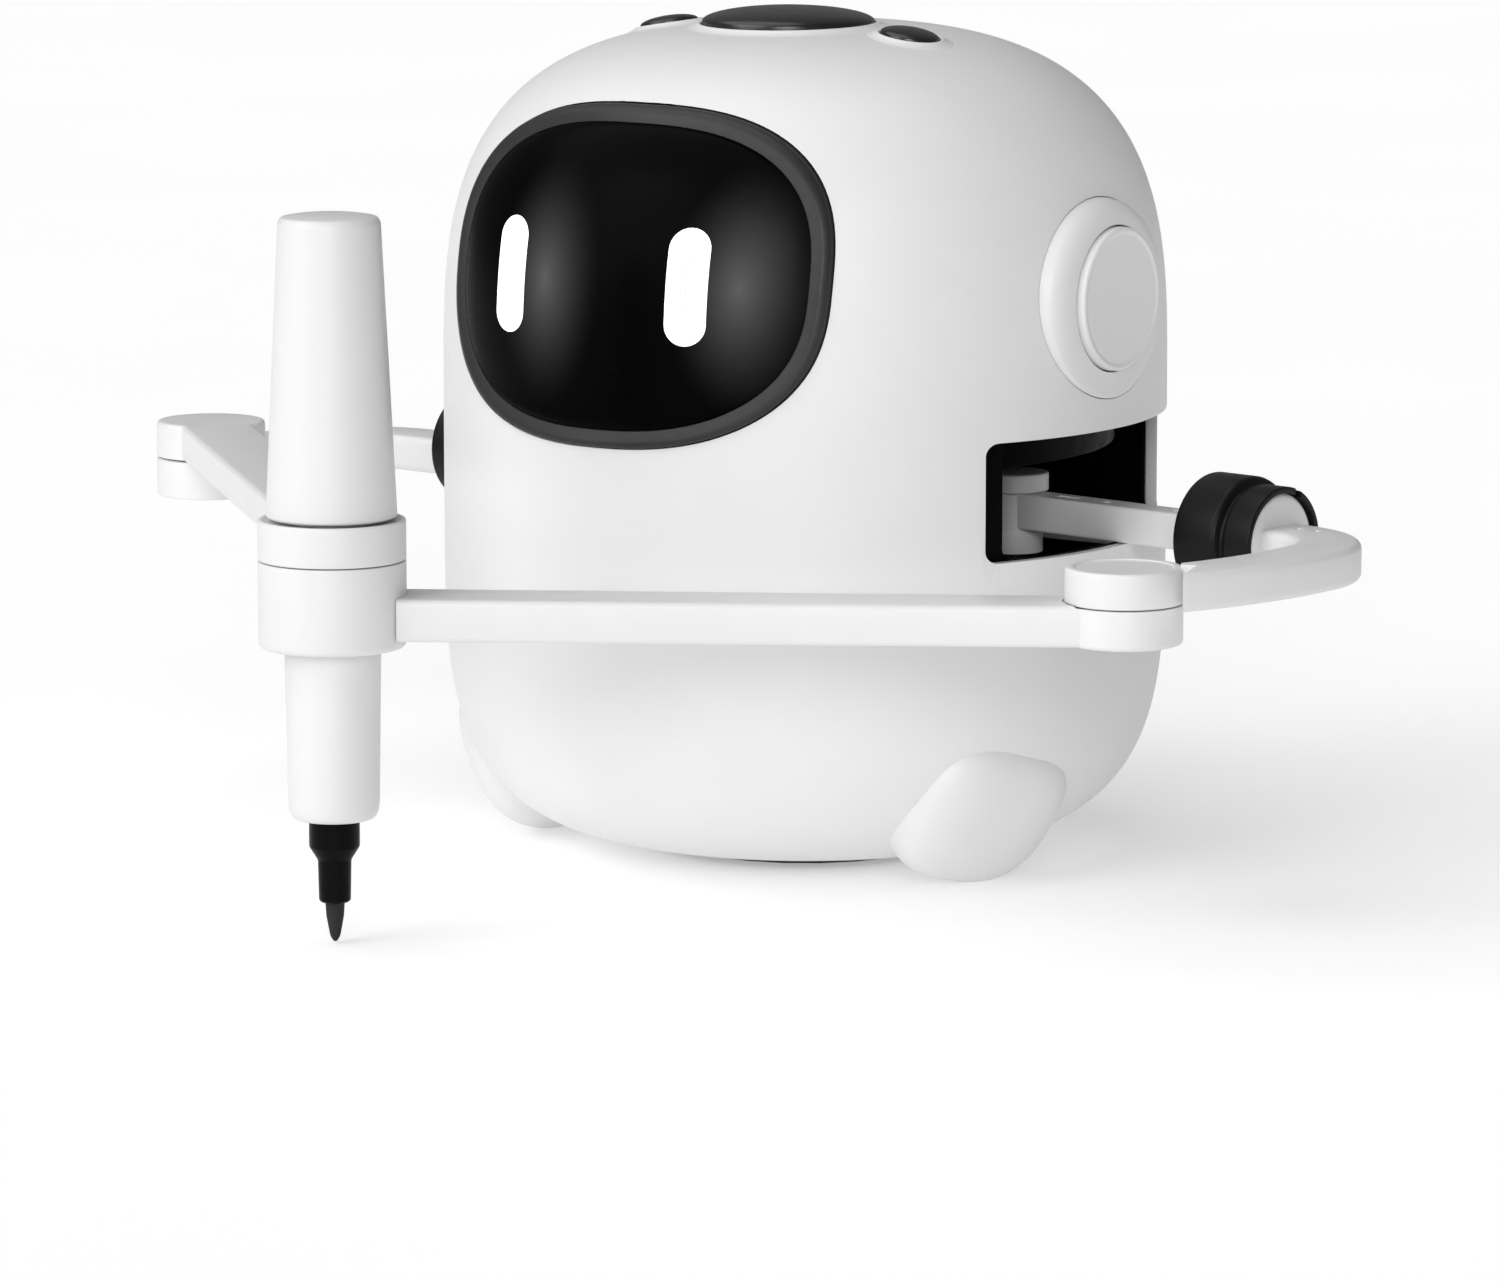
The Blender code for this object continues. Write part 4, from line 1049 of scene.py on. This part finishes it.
def make_cuff(name, side):
    arm = ArmFrame(side)
    end = arm.cuff_end
    start = end - 16.0 * MM
    step = end - 6.2 * MM
    corners = [
        (9.4 * MM, start + 4 * MM),
        (9.4 * MM, start + 0.2 * MM, 0.3 * MM),
        (10.2 * MM, start, 0.3 * MM),
        (11.1 * MM, start + 0.1 * MM, 0.7 * MM),
        (11.1 * MM, step - 0.7 * MM, 0.9 * MM),
        (9.6 * MM, step - 0.2 * MM, 0.3 * MM),
        (9.6 * MM, step + 0.5 * MM, 0.2 * MM),
        (9.9 * MM, step + 0.7 * MM, 0.2 * MM),
        (9.9 * MM, end, 0.35 * MM),
        (8.8 * MM, end, 0.2 * MM),
        (8.8 * MM, start + 5.6 * MM),
        (4.9 * MM, start + 5.6 * MM),
        (4.9 * MM, start + 4 * MM),
    ]
    height = CUFF_Z if side > 0 else CUFF_Z + RIGHT_CUFF_LIFT
    mesh = lathe(name, corners, (*arm.shoulder, height), (*arm.out, 0), 128, loop=True)
    up = Vector((0.0, 0.0, 1.0))
    back = -Vector((*arm.forward, 0.0))
    spoke = (up * math.cos(NOTCH_TURN) + back * math.sin(NOTCH_TURN)) * 9.3 * MM
    centre = Vector((*arm.point(end, 0.0), height)) + spoke
    half = Vector((0.8 * MM, 0.8 * MM, 0.8 * MM))
    mesh = combine(mesh, [box_mesh("notch", centre - half, centre + half)], "DIFFERENCE")
    add_piece(name + "_sleeve", mesh, arm.body, "cuff_black", CUFF, name, sharp=30.0)


def hub_ring(low, high, low_round, high_round):
    return [
        (HUB_BORE, low + 0.2 * MM),
        (HUB_BORE + 0.2 * MM, low),
        (HUB_RADIUS, low, low_round),
        (HUB_RADIUS, high, high_round),
        (HUB_BORE + 0.2 * MM, high),
        (HUB_BORE, high - 0.2 * MM),
    ]


def make_forearms():
    make_low_forearm()
    make_high_forearm()


def make_low_forearm():
    """The bar under the left elbow. It slopes down towards the elbow, and its top steps down round it."""
    track = [HUB.lerp(LEFT_ELBOW, i / 24) for i in range(2, 25)]

    def section(share):
        low = (52.4 - 0.8 * share) * MM
        high = (59.7 - 1.1 * share) * MM
        return rounded_section(FOREARM_HALF_WIDTH, low, high, 1.0 * MM)

    bar = ribbon("left_forearm", track, section)
    elbow_low, step_low = LOW_ARM_LEVEL
    reach = ELBOW_RADIUS + 0.4 * MM
    step_corners = [(0.0, 66 * MM), (reach, 66 * MM), (reach, step_low), (0.0, step_low)]
    step = lathe("step", step_corners, (*LEFT_ELBOW, 0), sides=128)
    seat_corners = [
        (0.0, 60 * MM),
        (PIN_BORE, 60 * MM),
        (PIN_BORE, PIN_SEAT_LEVEL),
        (PIN_SEAT_RADIUS, PIN_SEAT_LEVEL),
        (PIN_SEAT_RADIUS, 45 * MM),
        (0.0, 45 * MM),
    ]
    seat = lathe("seat", seat_corners, (*LEFT_ELBOW, 0), sides=64)
    bar = combine(bar, [hub_bore(), step, seat], "DIFFERENCE")
    corners = [
        (PIN_BORE, step_low),
        (ELBOW_RADIUS, step_low, 0.25 * MM),
        (ELBOW_RADIUS, elbow_low, 1.0 * MM),
        (PIN_SEAT_RADIUS, elbow_low),
        (PIN_SEAT_RADIUS, PIN_SEAT_LEVEL),
        (PIN_BORE, PIN_SEAT_LEVEL),
    ]
    elbow = lathe("elbow", corners, (*LEFT_ELBOW, 0), sides=96, loop=True)
    hub_corners = hub_ring(*LOW_HUB_LEVEL, 1.3 * MM, 0.25 * MM)
    hub = lathe("hub", hub_corners, (*HUB, 0), sides=128, loop=True)
    solid = combine(bar, [elbow, hub], "UNION")
    body = "left_forearm_link"
    add_piece("left_forearm_moulding", solid, body, "arm_white", ARM, "left_forearm", sharp=30.0)


def make_high_forearm():
    """The bar over the right elbow, flush with its rings, with the open pivot's stub under it."""
    low, high = HIGH_ARM_LEVEL
    elbow_place = ArmFrame(-1).elbow()
    track = [HUB.lerp(elbow_place, i / 24) for i in range(2, 25)]
    section = rounded_section(FOREARM_HALF_WIDTH, low, high, 0.9 * MM)
    bar = combine(ribbon("right_forearm", track, section), [hub_bore()], "DIFFERENCE")
    corners = [
        (0.0, high),
        (ELBOW_RADIUS, high, 0.9 * MM),
        (ELBOW_RADIUS, low, 0.25 * MM),
        (STUB_RADIUS, low),
        (STUB_RADIUS, STUB_LOW),
        (0.0, STUB_LOW),
    ]
    elbow = lathe("elbow", corners, (*elbow_place, 0), sides=96)
    hub = lathe("hub", UPPER_HUB, (*HUB, 0), sides=128, loop=True)
    solid = combine(bar, [elbow, hub], "UNION")
    away = (elbow_place - HUB).normalized() * 7.6 * MM
    dimple_corners = [(0, 73 * MM), (0.55 * MM, 73 * MM), (0.4 * MM, 71.7 * MM), (0, 71.7 * MM)]
    dimple = lathe("dimple", dimple_corners, (*(elbow_place + away), 0), sides=24)
    solid = combine(solid, [dimple], "DIFFERENCE")
    body = "right_forearm_link"
    add_piece("right_forearm_moulding", solid, body, "arm_white", ARM, "right_forearm", sharp=30.0)


def hub_bore():
    corners = [(0, 80 * MM), (HUB_BORE, 80 * MM), (HUB_BORE, 40 * MM), (0, 40 * MM)]
    return lathe("bore", corners, (*HUB, 0), sides=128)


# Pen

def make_pen():
    place = (*HUB, 0)
    sleeve = [
        (6.3 * MM, 72.2 * MM),
        (7.8 * MM, 72.2 * MM),
        (7.8 * MM, 50.3 * MM),
        (8.15 * MM, 50.3 * MM, 0.1 * MM),
        (7.68 * MM, 21.5 * MM, 3.2 * MM),
        (4.8 * MM, 21.3 * MM, 0.2 * MM),
        (4.8 * MM, 24 * MM),
        (6.3 * MM, 26.5 * MM),
    ]
    mesh = lathe("pen_sleeve", sleeve, place, sides=128, loop=True)
    add_piece("pen_sleeve_turned", mesh, "pen_holder", "arm_white", ARM, "pen_sleeve")
    barrel = [
        (0.0, 124.0 * MM),
        (5.0 * MM, 123.85 * MM, 2 * MM),
        (8.2 * MM, 123.3 * MM, 0.5 * MM),
        (8.65 * MM, 122.3 * MM, 0.4 * MM),
        (11.05 * MM, 73.0 * MM, 0.3 * MM),
        (10.5 * MM, 72.7 * MM, 0.2 * MM),
        (5.9 * MM, 72.7 * MM),
        (5.9 * MM, 28 * MM),
        (0.0, 28 * MM),
    ]
    mesh = lathe("marker_barrel", barrel, place, sides=128)
    add_piece("marker_barrel_turned", mesh, "pen", "arm_white", ARM, "marker_barrel")
    collar = [
        (0.0, 27.7 * MM),
        (4.3 * MM, 27.7 * MM),
        (4.3 * MM, 16.6 * MM, 0.3 * MM),
        (2.85 * MM, 14.3 * MM, 0.3 * MM),
        (2.7 * MM, 7.4 * MM, 0.2 * MM),
        (2.3 * MM, 7.0 * MM, 0.2 * MM),
        (0.0, 7.0 * MM),
    ]
    mesh = lathe("marker_collar", collar, place, sides=96)
    add_piece("marker_collar_turned", mesh, "pen", "pen_black", PEN_BLACK, "marker_collar")
    tip = [
        (0.0, 6.9 * MM),
        (1.65 * MM, 6.9 * MM),
        (1.5 * MM, 4.6 * MM, 0.4 * MM),
        (0.85 * MM, 1.1 * MM, 0.5 * MM),
        (0.3 * MM, 0.25 * MM, 0.2 * MM),
        (0.0, 0.2 * MM),
    ]
    mesh = lathe("marker_tip", tip, place, sides=64)
    add_piece("marker_tip_turned", mesh, "pen", "felt", FELT, "marker_tip")


# Inside

def make_tray():
    """The round shelf whose skirt shows through the windows."""
    tray = [
        (8 * MM, 86 * MM),
        (55.6 * MM, 86 * MM, 0.5 * MM),
        (55.6 * MM, 74 * MM, 0.4 * MM),
        (53.4 * MM, 74 * MM, 0.4 * MM),
        (53.4 * MM, 84 * MM, 0.4 * MM),
        (8 * MM, 84 * MM),
    ]
    mesh = lathe("head_tray", tray, sides=160, loop=True)
    add_piece("head_tray_turned", mesh, ROOT, "inner_black", INNER, "head_tray")


CAD_LOOKS = (
    (INNER, ("chassis_plate", "lift_carriage", "base_plate", "speaker")),
    (RUBBER, ("base_pad",)),
    (STEEL, ("guide_rod_1", "guide_rod_2", "elbow_pin", "charge_socket")),
    (STEEL, ("shell_screw_1", "shell_screw_2", "shell_screw_3", "shell_screw_4")),
    (COIL, ("lift_coil",)),
    (BOARD, ("main_board", "button_board", "eye_board")),
    (WRAP, ("battery_cell",)),
    (MOTOR, ("left_shoulder_motor", "right_shoulder_motor")),
)


def dress_cad():
    """Give the CAD pieces that stay their own materials."""
    for look, names in CAD_LOOKS:
        for name in names:
            node = frame["nodes"][name]
            for slot in node.material_slots:
                slot.material = look
            if not node.material_slots:
                node.data.materials.append(look)


# Studio

CAMERA_TURN = math.radians(34.45)
CAMERA_PITCH = math.radians(9.15)
CAMERA_DISTANCE = 1.350
CAMERA_HEIGHT = 0.254
CAMERA_OFFSET = -9.94 * MM
CAMERA_LENS = 181.44
FLOOR_REACH = 4
FLOOR_THICKNESS = 0.02
FLOOR_DROP = 0.0001
FLOOR_GLOW = 0.32
SKY_STRENGTH = 0.22
# Each sun: its name, the direction it shines along, its strength and its spread in degrees.
SUNS = (
    ("left_key", (0.36, 0.85, -0.38), 0.38, 45.0),
    ("front_key", (-0.50, 0.82, -0.30), 0.39, 30.0),
    ("top_fill", (0.40, 0.30, -1.0), 0.43, 70.0),
)


def make_camera():
    lens = bpy.data.cameras.new("camera")
    lens.sensor_width = 36.0
    lens.lens = CAMERA_LENS
    lens.clip_end = 20.0
    made = bpy.data.objects.new("camera", lens)
    bpy.context.scene.collection.objects.link(made)
    right = Vector((math.cos(CAMERA_TURN), math.sin(CAMERA_TURN), 0.0))
    away = Vector((math.sin(CAMERA_TURN), -math.cos(CAMERA_TURN), 0.0))
    place = away * CAMERA_DISTANCE + right * CAMERA_OFFSET
    made.location = (place.x, place.y, CAMERA_HEIGHT)
    made.rotation_euler = (math.pi / 2 - CAMERA_PITCH, 0.0, CAMERA_TURN)
    bpy.context.scene.camera = made


def soft_sun(name, towards, strength, spread):
    """A distant soft light that shines along a direction."""
    light = bpy.data.lights.new(name, "SUN")
    light.energy = strength * math.pi
    light.angle = math.radians(spread)
    made = bpy.data.objects.new(name, light)
    bpy.context.scene.collection.objects.link(made)
    made.rotation_euler = Vector(towards).to_track_quat("-Z", "Y").to_euler()


def make_studio():
    low = (-FLOOR_REACH, -FLOOR_REACH, -FLOOR_THICKNESS)
    high = (FLOOR_REACH, FLOOR_REACH, -FLOOR_DROP)
    floor = scratch(box_mesh("floor", low, high))
    look, tree, shader = shader_material("floor_white", grey(0.8), 0.7, Specular_IOR_Level=0.2)
    tint(tree, noise(tree, 6.0), shader.inputs["Base Color"], grey(0.79), grey(0.81))
    shader.inputs["Emission Color"].default_value = (1.0, 1.0, 1.0, 1.0)
    shader.inputs["Emission Strength"].default_value = FLOOR_GLOW
    floor.data.materials.append(look)
    world = bpy.data.worlds.new("studio")
    bpy.context.scene.world = world
    world.use_nodes = True
    sky = world.node_tree.nodes["Background"]
    sky.inputs["Color"].default_value = (1.0, 1.0, 1.0, 1.0)
    sky.inputs["Strength"].default_value = SKY_STRENGTH
    for sun in SUNS:
        soft_sun(*sun)
    bpy.context.scene.view_settings.view_transform = "Standard"


make_camera()
make_studio()
make_shells()
make_face()
make_ears()
make_buttons()
make_feet()
make_upper_arm("left_upper_arm", 1)
make_upper_arm("right_upper_arm", -1)
make_cuff("left_cuff", 1)
make_cuff("right_cuff", -1)
make_forearms()
make_pen()
make_tray()
dress_cad()
